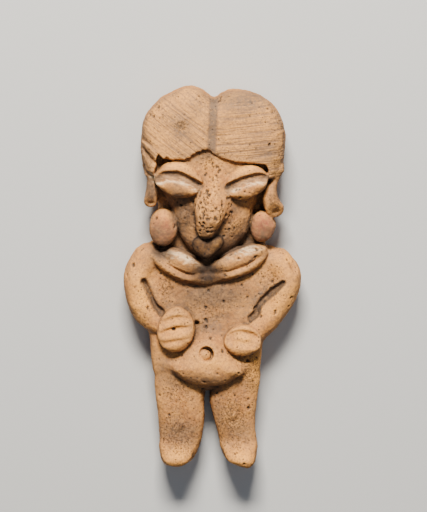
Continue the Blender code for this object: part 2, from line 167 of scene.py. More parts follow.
def window(low, high, spare):
    """The grid cells between two corners with some to spare, and their x, y and z."""
    first = np.floor((np.asarray(low) - spare - grid_low) / PITCH).astype(int)
    last = np.ceil((np.asarray(high) + spare - grid_low) / PITCH).astype(int) + 1
    first, last = np.clip(first, 0, clay.shape), np.clip(last, 0, clay.shape)
    x, y, z = (
        (start + PITCH * np.arange(a, b)).astype(np.float32)
        for start, a, b in zip(grid_low, first, last)
    )
    cells = tuple(slice(a, b) for a, b in zip(first, last))
    return cells, x[:, None, None], y[None, :, None], z[None, None, :]


def melt(one, other, blend):
    """The smaller of two distances, with the joint smeared over the width blend."""
    share = np.clip(0.5 + 0.5 * (other - one) / blend, 0, 1)
    return other + (one - other) * share - blend * share * (1 - share)


def press_on(shape, blend):
    """Adds a piece to the clay. blend is a width, or a function of x and y."""
    distance, low, high = shape
    cells, x, y, z = window(low, high, JOINT_REACH)
    width = blend(x, y) if callable(blend) else blend
    clay[cells] = melt(clay[cells], distance(x, y, z), width)


def press_in(shape, blend):
    """Pushes a tool into the clay, whose lip is rounded over the width blend."""
    distance, low, high = shape
    cells, x, y, z = window(low, high, LIP_REACH)
    clay[cells] = -melt(-clay[cells], distance(x, y, z), blend)


def body_front(x, y):
    """The front of the slab thins out from the chest to the shins."""
    return FEET + (CHEST - FEET) * np.clip((y - SHINS_AT) / (BELLY_AT - SHINS_AT), 0, 1) + 0 * x


def toe_front(x, y):
    """The toes rise from the shin towards their ends."""
    return TOES - (TOES - FEET) * np.clip((y - TOES_AT) / TOE_RISE, 0, 1)**1.3 + 0 * x


press_on(pad((TORSO, LEFT_LEG, RIGHT_LEG), -BOARD_BITE, body_front, edge=4.4, dome=3.4, power=2.6), SMEARED)
for toes in (LEFT_TOES, RIGHT_TOES):
    press_on(pad((toes,), 4, toe_front, edge=2.6, dome=2.2), TOE_JOINT)


# The arms
# Two rolled coils that leave the shoulders, bend at the elbows and come in to the belly. They were smeared
# onto the slab outside, and a stick was drawn down the inner side of each to part it from the ribs.
ARM_DEPTH = 1.15
ARM_JOINT = 0.6
ARMPIT_LIP = 0.45
ARMS = (
    ((-16.6, 55.2, 8.2, 3.9), (-19.2, 50.6, 8.6, 3.8), (-18.9, 45.4, 8.8, 3.6), (-16.5, 40.4, 9.2, 3.5),
     (-12.4, 37.4, 9.6, 2.9)),
    ((17.6, 54.2, 8.2, 3.6), (19.6, 50.2, 8.6, 3.8), (17.9, 44.6, 8.8, 3.6), (14.4, 39.4, 9.2, 3.5),
     (10.8, 35.4, 9.6, 3.2)),
)
ARMPITS = (
    ((-17.7, 49.6, 12.6, 0.8), (-16.9, 48.1, 12.1, 0.75), (-15.8, 45.6, 11.8, 0.7),
     (-14.7, 43.2, 11.7, 0.7), (-13.2, 41.5, 11.8, 0.8)),
    ((18.7, 49.3, 12.7, 0.5), (16.1, 47.1, 12.1, 0.85), (13.8, 44.9, 11.8, 0.75), (12.1, 42.9, 11.8, 0.7),
     (11.7, 41.2, 11.8, 0.8), (10.2, 39.9, 11.8, 0.7)),
)


def coil(points, depth=1):
    """A rolled coil along points with a radius each. depth is its thickness front to back over its width."""
    line = smooth_curve(points, closed=False, steps=4)
    reach = line[:, 3:] * (1, 1, depth)

    def distance(x, y, z):
        nearest = np.float32(np.inf)
        for start, end in zip(line, line[1:]):
            way = end[:3] - start[:3]
            way[2] /= depth
            dx, dy, dz = x - start[0], y - start[1], (z - start[2]) / depth
            share = np.clip((dx * way[0] + dy * way[1] + dz * way[2]) / (way @ way), 0, 1)
            gap = np.sqrt((dx - share * way[0])**2 + (dy - share * way[1])**2 + (dz - share * way[2])**2)
            nearest = np.minimum(nearest, gap - (start[3] + share * (end[3] - start[3])))
        return nearest

    return distance, (line[:, :3] - reach).min(0), (line[:, :3] + reach).max(0)


def stick(points, radius):
    """The end of a stick of one radius, drawn along points."""
    return coil([(*point, radius) for point in points])


for arm in ARMS:
    press_on(coil(arm, ARM_DEPTH), ARM_JOINT)
armpit_cuts = [coil(armpit, depth=2.2) for armpit in ARMPITS]
for cut in armpit_cuts:
    press_in(cut, ARMPIT_LIP)


# The head and the face
# The slab goes on up as the neck and head. The face is a second pad on it, domed and pointed at the chin,
# with a long pinched nose, a flat pellet for the mouth and thumbnail creases along the nose.
HEAD_SLAB = 11.5
NECK_SLAB = 7.4
AS_PRESSED = 0.3
NECK_JOINT = 1.6
SOFT_LIP = 0.4
DENT_LIP = 0.7
NECK_AT = 66
BROW_AT = 78
FACE = 14.8
EYES_AT = 76
EYE_STEP = 4.5
CHEEKS_AT = 67
CHIN_BOW = 0.01
NOSE_JOINT = 1.3
CHEEK_SMEAR = 1.9
MOUTH = 16
HEAD = (
    (-18.3, 86.2), (-17.6, 91.3), (-15.9, 94.4), (-13.3, 96.9), (-10.6, 98.4), (-8, 99.6), (-5.4, 100),
    (-2.9, 99.4), (-1, 98), (0.7, 97.1), (2.6, 98.2), (5, 99), (8.1, 99.1), (10.7, 98.5), (13.3, 97.3),
    (15.9, 95.2), (17.9, 92.3), (18.9, 88.8), (19, 84.6), (18.3, 79.9), (16.6, 75.7), (14.9, 71),
    (14.2, 64.6), (13.8, 58.3), (11, 50.8), (-1.6, 48.4), (-11.6, 50.8), (-14.8, 58.1), (-14.2, 63.9),
    (-14.1, 69.6), (-15.7, 74.4), (-17.6, 78.8), (-18.3, 82.5),
)
FACE_OUTLINE = (
    (-13.6, 80.1), (-13.2, 74.6), (-11, 69.6), (-9.8, 66), (-8.6, 62.8), (-7.6, 60.4), (-6, 57.9),
    (-3.9, 55.9), (-1.6, 55), (1.6, 55.6), (4.4, 57), (6.9, 58.9), (8.9, 61.6), (10.3, 65.4), (11.4, 69.4),
    (13.6, 75), (14.2, 80.1), (11.6, 88), (-0.3, 91), (-11.1, 88),
)
MOUTH_OUTLINE = (
    (-3.6, 61.7), (-4.9, 60.6), (-4.9, 58.8), (-4.1, 57.3), (-2.9, 56.2), (-1.4, 55.5), (-0.2, 56.1),
    (1.3, 57.3), (2.6, 58.8), (3.1, 60.4), (2.4, 61.8), (0.9, 61.7), (-0.8, 60.9), (-2.4, 61.5),
)
NOSE = (
    (0.4, 81, 12.4, 2), (0.4, 75.6, 13.3, 2.6), (0.2, 71.8, 12.9, 4.2), (-0.3, 69, 13.9, 4.4),
    (-0.7, 66.8, 15.9, 3.6), (-1.2, 64.3, 15.2, 3),
)
LIP_DENT = ((-0.8, 60, 15.6), (-0.9, 58, 16.1))
CREASES = (
    ((-5, 70, 15.3, 0.35), (-4.6, 65.9, 15.3, 0.5), (-3.9, 61.9, 15.4, 0.5)),
    ((3.4, 65.4, 15, 0.35), (1.9, 63, 15.5, 0.6), (0.6, 61.4, 16.3, 0.55)),
)


def head_front(x, y):
    """The slab is thinner at the neck, so that the jaw and the collar stand clear of it."""
    return NECK_SLAB + (HEAD_SLAB - NECK_SLAB) * np.clip((y - NECK_AT) / (BROW_AT - NECK_AT), 0, 1) + 0 * x


def face_front(x, y):
    """The face drops below the eyes and draws back to the chin."""
    below_eyes = np.clip((EYES_AT - y) / EYE_STEP, 0, 1)
    return FACE - below_eyes - CHIN_BOW * np.maximum(CHEEKS_AT - y, 0)**2 + 0 * x


def nose_joint(x, y):
    """The nose is smeared out into the right cheek more than into the left one."""
    return NOSE_JOINT + CHEEK_SMEAR * np.clip((x + 0.5) / 2, 0, 1) * np.clip((y - 64.5) / 3, 0, 1)


press_on(pad((HEAD,), -BOARD_BITE, head_front, edge=4.4, dome=3.8), NECK_JOINT)
press_on(pad((FACE_OUTLINE,), 3, face_front, edge=7.5, dome=4.6), SMEARED)
press_on(coil(NOSE), nose_joint)
lips = pad((MOUTH_OUTLINE,), 6, MOUTH, edge=2.2, dome=2.2)
press_on(lips, AS_PRESSED)
press_in(stick(LIP_DENT, 0.6), DENT_LIP)
crease_cuts = [coil(crease, depth=1.8) for crease in CREASES]
for cut in crease_cuts:
    press_in(cut, SOFT_LIP)


# The eyes
# A lens-shaped pellet beside the nose for each eye, slit from corner to corner with a knife held at a slant,
# like a coffee bean. The cut is steep under the upper lid and slopes up to the lower one, where slip remains.
EYE_FRONT = 17.2
LID_RIM = 0.35
KNIFE_LIP = 0.15
LEFT_LIDS = (
    (-14.9, 76.9), (-12.8, 80.2), (-11, 81.1), (-8.8, 81.3), (-6.6, 81), (-4.4, 79.7), (-2.6, 77.8),
    (-1.9, 75.9), (-2.9, 74.3), (-4.6, 72.4), (-6.8, 71.8), (-9.4, 72), (-12.2, 73.3), (-14.2, 75.2),
)
RIGHT_LIDS = (
    (3.2, 75), (3.9, 77.2), (5.5, 78.9), (7.5, 80), (9.6, 80.5), (11.7, 80.2), (13.5, 79.2), (14.7, 77.4),
    (14.2, 75), (12.9, 73.3), (11, 72.1), (8.9, 71.4), (6.6, 71.4), (4.8, 72.2), (3.7, 73.6),
)
LEFT_SLIT = ((-14.2, 77.7, 15), (-12.2, 78.7, 15.7), (-8.8, 78.7, 15.9), (-5.6, 77.4, 15.8), (-2.1, 75.3, 15))
RIGHT_SLIT = ((3.4, 75, 15), (6.2, 76.5, 15.8), (9.4, 77.7, 15.9), (12, 78.2, 15.7), (14.3, 77.9, 15))


def beside_line(line, x, y):
    """For each stretch of a line: its height beside each place, the gap to it and what is on its right."""
    for start, end in zip(line, line[1:]):
        way = end[:2] - start[:2]
        dx, dy = x - start[0], y - start[1]
        share = np.clip((dx * way[0] + dy * way[1]) / (way @ way), 0, 1)
        gap = np.hypot(dx - share * way[0], dy - share * way[1])
        yield start[2] + share * (end[2] - start[2]), gap, dx * way[1] > dy * way[0]


def knife(points, left, right, floor=0):
    """A blade drawn along points, with one wall on the left, and a floor and another wall on the right."""
    line = smooth_curve(points, closed=False, steps=4)

    def distance(x, y, z):
        nearest, cut = np.float32(np.inf), np.float32(0)
        for bottom, gap, to_right in beside_line(line, x, y):
            slope = np.where(to_right, right, left)
            rise = np.where(to_right, np.maximum(gap - floor, 0), gap) * slope
            cut = np.where(gap < nearest, (bottom + rise - z) / np.hypot(1, slope), cut)
            nearest = np.minimum(nearest, gap)
        return cut

    return distance, line.min(0) - (2.5, 2.5, 0.5), (*(line.max(0)[:2] + 2.5), ABOVE_ALL)


def trim(shape, side, blend):
    """What is left of a piece where side is negative."""
    distance, low, high = shape
    return lambda x, y, z: -melt(-distance(x, y, z), -side(x, y, z), blend), low, high


def within(outline, rim):
    """How far a place lies outside an outline with a rim left standing inside it."""
    return lambda x, y, z: outline_distance(outline, x, y) + rim + 0 * z


eyes = []
for outline, slit in ((LEFT_LIDS, LEFT_SLIT), (RIGHT_LIDS, RIGHT_SLIT)):
    lids = pad((outline,), 6, EYE_FRONT, edge=2.9, dome=2.8, power=2.3)
    press_on(lids, AS_PRESSED)
    press_in(trim(knife(slit, left=4, right=0.95, floor=1.3), within(outline, LID_RIM), 0.3), KNIFE_LIP)
    eyes.append((lids, slit))


# The hair
# Two wings of clay laid over the brow and swept to the sides, with a flat parting between them. They were
# combed with a frayed stick, down and outwards on the left and level on the right, and each hangs down beside
# the eye in a lock whose end has broken off.
HAIR = 16.2
THIN_JOINT = 0.25
STICK_LIP = 0.3
FINE_LIP = 0.2
HAIRLINE = (
    (-24, 77.6), (-14.9, 77.6), (-14.4, 80.2), (-13.9, 83.4), (-13.5, 82.9), (-12.6, 81.9), (-10.6, 81.8),
    (-9.4, 81.7), (-8.2, 81.9), (-6.4, 81.7), (-5.8, 82.2), (-5.2, 82.5), (-4.6, 83.3), (-3.9, 83.2),
    (-3.4, 83.9), (-2.6, 83.8), (-1.2, 84.4), (-0.3, 84.1), (0.7, 83.3), (2.1, 82.5), (3.4, 82),
    (6.2, 81.3), (8.9, 81), (11.6, 80.8), (13.9, 80.5), (14.5, 79.2), (15, 76.6), (24, 76.6),
)
LOCKS = (
    ((-16, 79.4, 11.2, 1.9), (-15.6, 76.6, 11.4, 1.2), (-15.5, 74.6, 11.4, 1.4), (-15.7, 72.1, 11.4, 1.6),
     (-16, 70.4, 11.6, 1.7)),
    ((16.8, 79, 11.2, 2.1), (16.3, 76.2, 11.4, 1.2), (15.6, 74, 11.6, 1.35), (15.2, 71.8, 11.8, 1.9),
     (15.6, 69.8, 12, 2.1), (16.6, 68.2, 12.2, 2.2)),
)
LOCK_DEPTH = 1.2
LOCK_STUB = 0.4
BREAKS = ((-0.1, -0.55, 0.85), (0.3, -0.52, 0.8))
BREAK_HOLLOW = (0.45, 0.35)
PARTING = (
    (0.8, 100.2, HAIR - 1.8, 1.2), (0.6, 97.4, HAIR + 0.1, 1.7), (0.4, 92, HAIR + 1.1, 1.6),
    (-0.1, 84, HAIR + 1.2, 1.6),
)
CHIP_DEPTH = 0.9
CHIPS = (
    (-11.6, 82.2, 0.5), (-9.2, 81.8, 0.4), (-6.3, 82, 0.55), (-4.9, 82.8, 0.5), (-3.7, 83.5, 0.4),
    (-2.1, 84.1, 0.55), (-0.9, 84.3, 0.35),
)
STRANDS = (
    ((-19.2, 87.9, 10.8), (-17.9, 87, 12), (-16.9, 86.3, 13.6), (-15.4, 85.4, 15)),
    ((-18.9, 85.3, 10.6), (-17.4, 84.1, 12.4), (-15.8, 82.2, 13.4), (-14.9, 81, 14.2)),
    ((-18.4, 79.5, 9.8), (-17, 78.2, 11.6), (-15.9, 77.5, 12.6)),
)


def below_hairline(x, y, z):
    """How far a place lies below the hair's cut edge."""
    line = np.asarray(HAIRLINE)
    return np.interp(x, line[:, 0], line[:, 1]).astype(np.float32) - y + 0 * z


def past_end(line, way):
    """How far a place lies past the broken end of a lock, whose face looks in a given direction."""
    tip = line[-1]
    way = np.asarray(way) / np.linalg.norm(way)
    return lambda x, y, z: (x - tip[0]) * way[0] + (y - tip[1]) * way[1] + (z - tip[2]) * way[2] - LOCK_STUB


press_on(trim(pad((HEAD,), 4, HAIR, edge=9, dome=6.4, power=3), below_hairline, 0.45), THIN_JOINT)
for lock, broken in zip(LOCKS, BREAKS):
    press_on(trim(coil(lock, LOCK_DEPTH), past_end(lock, broken), 0.25), SMEARED)
    tip_x, tip_y, tip_z, radius = lock[-1]
    hollow = (radius * BREAK_HOLLOW[0], radius * BREAK_HOLLOW[1], 0.9)
    press_in(pellet((tip_x + 0.1, tip_y - 0.3, tip_z + 0.5), hollow), STICK_LIP)
press_in(coil(PARTING), SOFT_LIP)
for strand in STRANDS:
    press_in(knife(strand, left=3, right=1.3), FINE_LIP)
for chip_x, chip_y, chip in CHIPS:
    press_in(pellet((chip_x, chip_y, HAIR - 0.5), (chip, 0.8 * chip, CHIP_DEPTH)), FINE_LIP)


# The ear discs
# Two buttons of clay, set in the ears' places beside the jaw and painted red. The left one is an even oval
# and the right one was pinched to a point above and to the side.
DISC_LEFT = (
    (-12.9, 68.4), (-15, 67.2), (-16.1, 64.6), (-15.9, 61.6), (-14.4, 59.3), (-12.3, 58.8), (-10.4, 59.9),
    (-9.1, 62.2), (-9.2, 65.2), (-10.6, 67.6),
)
DISC_RIGHT = (
    (12.6, 67.9), (11, 66.6), (10.2, 64.2), (10.5, 61.8), (12, 60.1), (13.8, 60), (15.3, 61), (16.4, 63),
    (16.7, 64.4), (15.4, 66.4), (14, 67.6),
)
DISC_FRONT = 14
DISC_BACK = 3.6
disc_left = pad((DISC_LEFT,), DISC_BACK, DISC_FRONT, edge=3.6, dome=2.4)
disc_right = pad((DISC_RIGHT,), DISC_BACK, DISC_FRONT, edge=3.2, dome=2.4)
press_on(disc_left, AS_PRESSED)
press_on(disc_right, AS_PRESSED)


# The collar
# A roll of clay laid round the neck from shoulder to shoulder, with a shorter strip above it on each side. A
# pellet fills the place under the chin, where the strips meet, and a tool left a hollow beside the left one.
COLLAR_DEPTH = 1.35
COLLAR_ROLL = (
    (-15.4, 56.4, 11.6, 0.9), (-13.4, 54.9, 11.7, 1.5), (-11.3, 53.5, 11.8, 1.8), (-8.1, 51.9, 11.8, 2),
    (-4.9, 50.7, 10.9, 2), (-1.7, 50.3, 10, 2.2), (1, 50.7, 10.1, 2), (3.7, 51.4, 11.1, 1.8),
    (6.6, 52.2, 12, 1.6), (9.5, 53.4, 11.9, 1.6), (12.1, 55.2, 11.7, 1.4), (13.9, 56.9, 11.5, 0.8),
)
STRIP_DEPTH = 0.85
COLLAR_STRIPS = (
    ((-11.9, 57, 12, 1.3), (-9.2, 55.8, 12.7, 2), (-6.6, 54.4, 12.5, 2.1), (-4.6, 53.3, 12, 1.9),
     (-2, 52.9, 11, 1.8)),
    ((0, 52.9, 11, 1.8), (2.6, 53.5, 12, 1.9), (5.6, 54.9, 12.5, 2.2), (8.6, 56.3, 12.9, 2.3),
     (11, 57.3, 12.7, 1.9), (13.2, 57.8, 12, 1.2)),
)
COLLAR_GROOVES = (
    ((-13.6, 55.7, 13.1), (-11.3, 54.3, 13.1), (-8.3, 52.6, 12.8), (-5.6, 51.6, 12.4), (-3.8, 51.4, 12.7)),
    ((2.4, 51.9, 12.8), (4.8, 52.5, 12.9), (8.2, 53.7, 13.2), (10.8, 55.1, 13.2), (13, 56.6, 13.1)),
)
COLLAR_BED = 9
BED_SPARE = 0.2
CHIN_JOINT = 0.8
SIDE_LIP = 0.6
CHIN_PELLET = ((-1, 54.2, 9.8), (3, 1.5, 1.7))
SIDE_HOLLOW = ((-13.1, 58, 11.2), (2.1, 0.8, 2.2), -12)
for line, depth in zip((COLLAR_ROLL, *COLLAR_STRIPS), (COLLAR_DEPTH, STRIP_DEPTH, STRIP_DEPTH)):
    press_on(coil(line, depth), AS_PRESSED)
    bed = [(x, y, COLLAR_BED, radius + BED_SPARE) for x, y, _, radius in line]
    press_on(coil(bed, 1.6), SMEARED)
for groove in COLLAR_GROOVES:
    press_in(knife(groove, left=2.8, right=1), KNIFE_LIP)
press_on(pellet(*CHIN_PELLET), CHIN_JOINT)
press_in(pellet(*SIDE_HOLLOW), SIDE_LIP)


# The belly
# A lens-shaped pad under the hands, smeared up into the chest and left sharp along its lower edge. The navel
# was punched with a hollow reed, which left a plug standing, and a hole goes in beside the left hand.
BELLY = 15.3
BELLY_EDGE = 24
BELLY_SMEAR = 2.6
CRISP_LIP = 0.25
BELLY_OUTLINE = (
    (-1.2, 35.8), (-4.4, 33.3), (-7.2, 30.5), (-9.6, 28), (-10.3, 26), (-8.2, 23.9), (-4.5, 22.3),
    (-0.5, 22), (3.4, 22.4), (6.1, 23.8), (8.5, 25.6), (6.4, 28.9), (3.6, 32.3), (1.5, 34.9),
)
NAVEL = (-1.4, 30.7)
REED = 1.9
PLUG = 1.5
HAND_HOLE = (-4.1, 38.4)


def belly_joint(x, y):
    """The belly's upper edge is smeared out and its lower edge is not."""
    return AS_PRESSED + BELLY_SMEAR * np.clip((y - BELLY_EDGE) / 3.5, 0, 1) + 0 * x


press_on(pad((BELLY_OUTLINE,), 4, BELLY, edge=6, dome=4.6, power=2.6), belly_joint)
press_in(coil(((*NAVEL, 14, REED), (*NAVEL, 19, REED + 0.05))), CRISP_LIP)
press_on(pellet((NAVEL[0] - 0.25, NAVEL[1] - 0.3, 13.4), (PLUG, PLUG, PLUG)), THIN_JOINT)
press_in(pellet((*HAND_HOLE, 12), (1, 0.8, 3)), STICK_LIP)
press_in(stick(((*HAND_HOLE, 12.6), (-3, 39.4, 12.4), (-2, 39.6, 12.2)), 0.3), STICK_LIP)


# The hands
# A flattened ball at the end of each arm, pressed onto the belly's side, with gaps between the fingers scored
# by a thumbnail.
HAND_FRONT = 15.8
LEFT_HAND = (
    (-9.2, 43), (-12, 41.6), (-13.8, 38.9), (-14.1, 35.8), (-12.8, 32.6), (-10.4, 31.1), (-7.8, 31.6),
    (-5.3, 33.9), (-4.4, 36.9), (-5, 40), (-6.8, 42.3),
)
RIGHT_HAND = (
    (8.1, 38.2), (5.3, 37.3), (3.5, 35.2), (3.4, 32.9), (5.3, 30.7), (8.2, 30), (11.1, 30.8), (12.9, 32.8),
    (12.8, 35.4), (11, 37.5),
)
FINGER_GAPS = (
    ((-13.5, 39, 14.2), (-10.1, 40.4, 14.7), (-7.4, 40.6, 14.8), (-5.4, 40.2, 14.4)),
    ((-13.9, 36.1, 14.3), (-10.1, 37.4, 14.6), (-7.2, 37.8, 14.8), (-4.5, 38.3, 14.6)),
    ((-13.4, 33.4, 14.2), (-10.1, 34.2, 14.8), (-7.4, 34.6, 15.1), (-5, 35.4, 14.7)),
    ((4.8, 35.9, 13.6), (7, 36.6, 13.9), (9.4, 36.4, 14), (11.6, 35.5, 13.6)),
    ((3.6, 34.4, 14.2), (7.2, 34.1, 14.5), (9.6, 33.8, 14.6), (12.4, 33.1, 14.2)),
)
press_on(pad((LEFT_HAND,), 6, HAND_FRONT, edge=4.2, dome=2.2), THIN_JOINT)
press_on(pad((RIGHT_HAND,), 6, HAND_FRONT, edge=3.8, dome=2.4), THIN_JOINT)
for gap in FINGER_GAPS:
    press_in(knife(gap, left=1, right=0.5), SOFT_LIP)


# The wear
# Centuries in the ground left a chip on the right shoulder, a grain of grit standing out of the right shin
# over a crescent-shaped hollow, a shallow scar on the left shin and a scratch on the chest.
SHOULDER_CHIP = ((22.2, 53.6, 11.8), (1.7, 2.9, 1.5), 30)
GRIT = ((5.8, 13.9, FEET - 0.1), (0.9, 0.8, 0.75))
GRIT_JOINT = 0.4
CRESCENT = ((4.6, 12.6, FEET + 0.2), (5.6, 12.1, FEET + 0.2), (6.9, 12.7, FEET + 0.3))
SHIN_SCAR = ((-7.8, 9.4, FEET + 0.5), (1.1, 1.8, 1), -20)
SCRATCH = ((-12.3, 49.6, 11.4), (-11, 47.9, 11.6), (-10.4, 46.2, 11.6), (-10.6, 44.6, 11.6))
press_in(pellet(*SHOULDER_CHIP), CRISP_LIP)
press_on(pellet(*GRIT), GRIT_JOINT)
press_in(stick(CRESCENT, 0.4), STICK_LIP)
press_in(pellet(*SHIN_SCAR), SOFT_LIP)
press_in(stick(SCRATCH, 0.2), FINE_LIP)


# The skin
# The clay's surface as one closed mesh. Every piece was pressed down, so nothing in front is undercut, and a
# wet finger went over all of it once.
PRESSED = 6
JUST_INSIDE = -0.02


def press_down(field):
    """Closes the gaps under the pieces that were pressed on."""
    for i in range(field.shape[2] - 2, int((PRESSED - grid_low[2]) / PITCH), -1):
        field[:, :, i] = np.minimum(field[:, :, i], field[:, :, i + 1])


def wipe(field):
    """Wipes the clay once with a wet finger, which rounds the sharpest creases and ridges."""
    for axis in range(3):
        line = np.moveaxis(field, axis, 0)
        line[1:-1] = line[1:-1] / 2 + (line[:-2] + line[2:]) / 4


def fill_pinches(field):
    """Fills grid corners where the clay would touch itself along an edge or at a point only."""
    corners = [np.array([i >> 2, (i >> 1) & 1, i & 1]) for i in range(8)]
    squares = [(0, 1, 3, 2), (0, 1, 5, 4), (0, 2, 6, 4)]
    filled = 1
    while filled:
        inside = field < 0
        block = [
            inside[tuple(slice(step, step + size - 1) for step, size in zip(corner, field.shape))]
            for corner in corners
        ]
        filled = 0
        count = sum(part.astype(np.int8) for part in block)
        faults = []
        for a, b, c, d in squares:
            pinched = (block[a] == block[c]) & (block[b] == block[d]) & (block[a] != block[b])
            faults += [(cell, (a, b, c, d)) for cell in np.argwhere(pinched)]
        for i in range(4):
            lone = ((count == 2) & block[i] & block[7 - i]) | ((count == 6) & ~block[i] & ~block[7 - i])
            faults += [(cell, range(8)) for cell in np.argwhere(lone)]
        for cell, spots in faults:
            empty = [tuple(cell + corners[i]) for i in spots if not block[i][tuple(cell)]]
            field[min(empty, key=lambda at: field[at])] = JUST_INSIDE
            filled += 1


def skin(field):
    """The surface where the field is zero: a point in each cell it crosses, a quad over each crossed edge."""
    inside = field < 0
    strides = np.array([field.shape[1] * field.shape[2], field.shape[2], 1])
    points, cells = [], []
    for axis in range(3):
        near = tuple(slice(0, -1) if side == axis else slice(None) for side in range(3))
        far = tuple(slice(1, None) if side == axis else slice(None) for side in range(3))
        crossed = inside[near] != inside[far]
        start, end = field[near][crossed], field[far][crossed]
        corner = np.argwhere(crossed)
        point = corner.astype(float)
        point[:, axis] += start / (start - end)
        one, other = strides[(axis + 1) % 3], strides[(axis + 2) % 3]
        first = corner @ strides
        around = np.stack([first - one - other, first - other, first, first - one], 1)
        around[start >= 0] = around[start >= 0][:, ::-1]
        points.append(point)
        cells.append(around)
    points, cells = np.vstack(points), np.vstack(cells)
    _, index = np.unique(cells, return_inverse=True)
    index = index.reshape(-1)
    shares = np.bincount(index)
    places = np.stack([np.bincount(index, np.repeat(points[:, axis], 4)) / shares for axis in range(3)], 1)
    return places * PITCH + grid_low, index.reshape(-1, 4)


def mesh_of(places, quads):
    """A Blender mesh of the places and quads."""
    mesh = bpy.data.meshes.new("figurine_clay")
    mesh.vertices.add(len(places))
    mesh.vertices.foreach_set("co", places.astype(np.float32).ravel())
    mesh.loops.add(quads.size)
    mesh.loops.foreach_set("vertex_index", quads.astype(np.int32).ravel())
    mesh.polygons.add(len(quads))
    mesh.polygons.foreach_set("loop_start", np.arange(0, quads.size, 4, dtype=np.int32))
    mesh.update(calc_edges=True)
    return mesh


def read(data, name):
    """One property of a mesh's points, as an array of x, y and z."""
    flat = np.empty(len(data) * 3, np.float32)
    data.foreach_get(name, flat)
    return flat.reshape(-1, 3).astype(float)


press_down(clay)
wipe(clay)
fill_pinches(clay)
places, quads = skin(clay)
mesh = mesh_of(places, quads)
normals = read(mesh.vertex_normals, "vector")


# The touch of the hand
# What the fingers, the comb and the board left on the surface: a slow swell everywhere, comb strokes on the
# hair, and a back that bears on the board here and there only.
STROKES = 260
STROKES_BEFORE = 60


def swell(places, length, seed, waves=26):
    """A smooth random swell with bumps about length apart, mostly between -1 and 1."""
    random = np.random.default_rng(seed)
    total = np.zeros(len(places))
    for way in random.normal(size=(waves, 3)):
        way *= 2 * math.pi / length / np.linalg.norm(way) * random.uniform(0.6, 1.4)
        total += np.sin(places @ way + random.uniform(0, 2 * math.pi))
    return total / math.sqrt(waves)


def comb(across, along, spacing, seed):
    """Strokes of a frayed stick: uneven ridges that come and go along their way."""
    random = np.random.default_rng(seed)
    edges = np.cumsum(random.uniform(0.4, 1.6, STROKES)) * spacing - STROKES_BEFORE * spacing
    depths = random.uniform(-1, 1, STROKES)
    fade = 0.6 + 0.4 * np.sin(along / 5.3 + 3 * np.interp(across, edges, depths))
    return np.interp(across + 0.12 * np.sin(along / 2.1), edges, depths) * fade


def step(value, low, high):
    """0 below low, 1 above high and smooth between."""
    share = np.clip((value - low) / (high - low), 0, 1)
    return share * share * (3 - 2 * share)


def stroked(turn, combs):
    """The strokes of some combs, each with its spacing and seed, drawn over each other in one direction."""
    across = (x - COMB_FROM[0]) * math.sin(turn) + (y - COMB_FROM[1]) * math.cos(turn)
    along = x * math.cos(turn) - y * math.sin(turn)
    return sum(comb(across, along, spacing, seed) for spacing, seed in combs)


STROKES_LEFT = math.radians(38)
STROKES_RIGHT = math.radians(-5)
COMB_FROM = (-24, 60)
x, y, z = places.T
hair = step(-below_hairline(x, y, z), -0.2, 0.6) * step(z, 9, 12)
side = step(x, -0.6, 1.6)
strokes = (1 - side) * stroked(STROKES_LEFT, ((0.75, 3), (1.9, 6)))
strokes += side * stroked(STROKES_RIGHT, ((0.65, 4), (1.7, 8)))
off_parting = step(np.abs(x - 0.3), 1, 1.4)
lift = 0.09 * swell(places, 9, 11) + 0.06 * swell(places, 3.6, 12) + 0.04 * swell(places, 1.3, 13)
lift += hair * off_parting * 0.1 * strokes
lift += 0.14 * hair * step(np.abs(x), 15.5, 18.5) * comb(y, x, 1.7, 5)
rough = step(y, 76, 79) * step(-x, 12, 14.5) * step(86 - y, 0, 2)
lift += 0.1 * rough * swell(places, 1.6, 14)
places = places + normals * lift[:, None]
hollow = 0.45 + 0.4 * swell(np.stack([x, y, 0 * y], 1), 16, 15) + 0.7 * np.exp(-((y - 63) / 7)**2)
hollow *= step(-normals[:, 2], 0.75, 0.97)
places[:, 2] = np.maximum(places[:, 2], np.clip(hollow, 0, 1.2))
mesh.vertices.foreach_set("co", places.astype(np.float32).ravel())
mesh.update()


# The pits
# Plant bits and coarse grit burnt or fell out of the surface, most of them on the nose and brow. Each left a
# pit up to a millimetre wide, dark inside.
PIT_RADIUS = 0.56
PIT_DEPTH = 0.55
PITS_PER_AREA = 1.35
PIT_SEED = 7
SMALLEST_PIT = 0.35


def set_points(mesh, name, values):
    """Stores a number for each point of a mesh."""
    numbers = mesh.attributes.new(name, "FLOAT", "POINT").data
    numbers.foreach_set("value", np.asarray(values, np.float32))


def patch(middle_x, middle_y, wide, long, amount=1, turn=0):
    """An oval patch of the surface: amount at its middle, fading to 0 past its reach, turned by degrees."""
    angle = math.radians(turn)
    across = (x - middle_x) * math.cos(angle) + (y - middle_y) * math.sin(angle)
    along = (y - middle_y) * math.cos(angle) - (x - middle_x) * math.sin(angle)
    return amount * np.exp(-(across / wide)**2 - (along / long)**2)


def strongest(under, patches):
    """What is there already, or the strongest of the patches over it."""
    for row in patches:
        under = np.maximum(under, patch(*row))
    return under


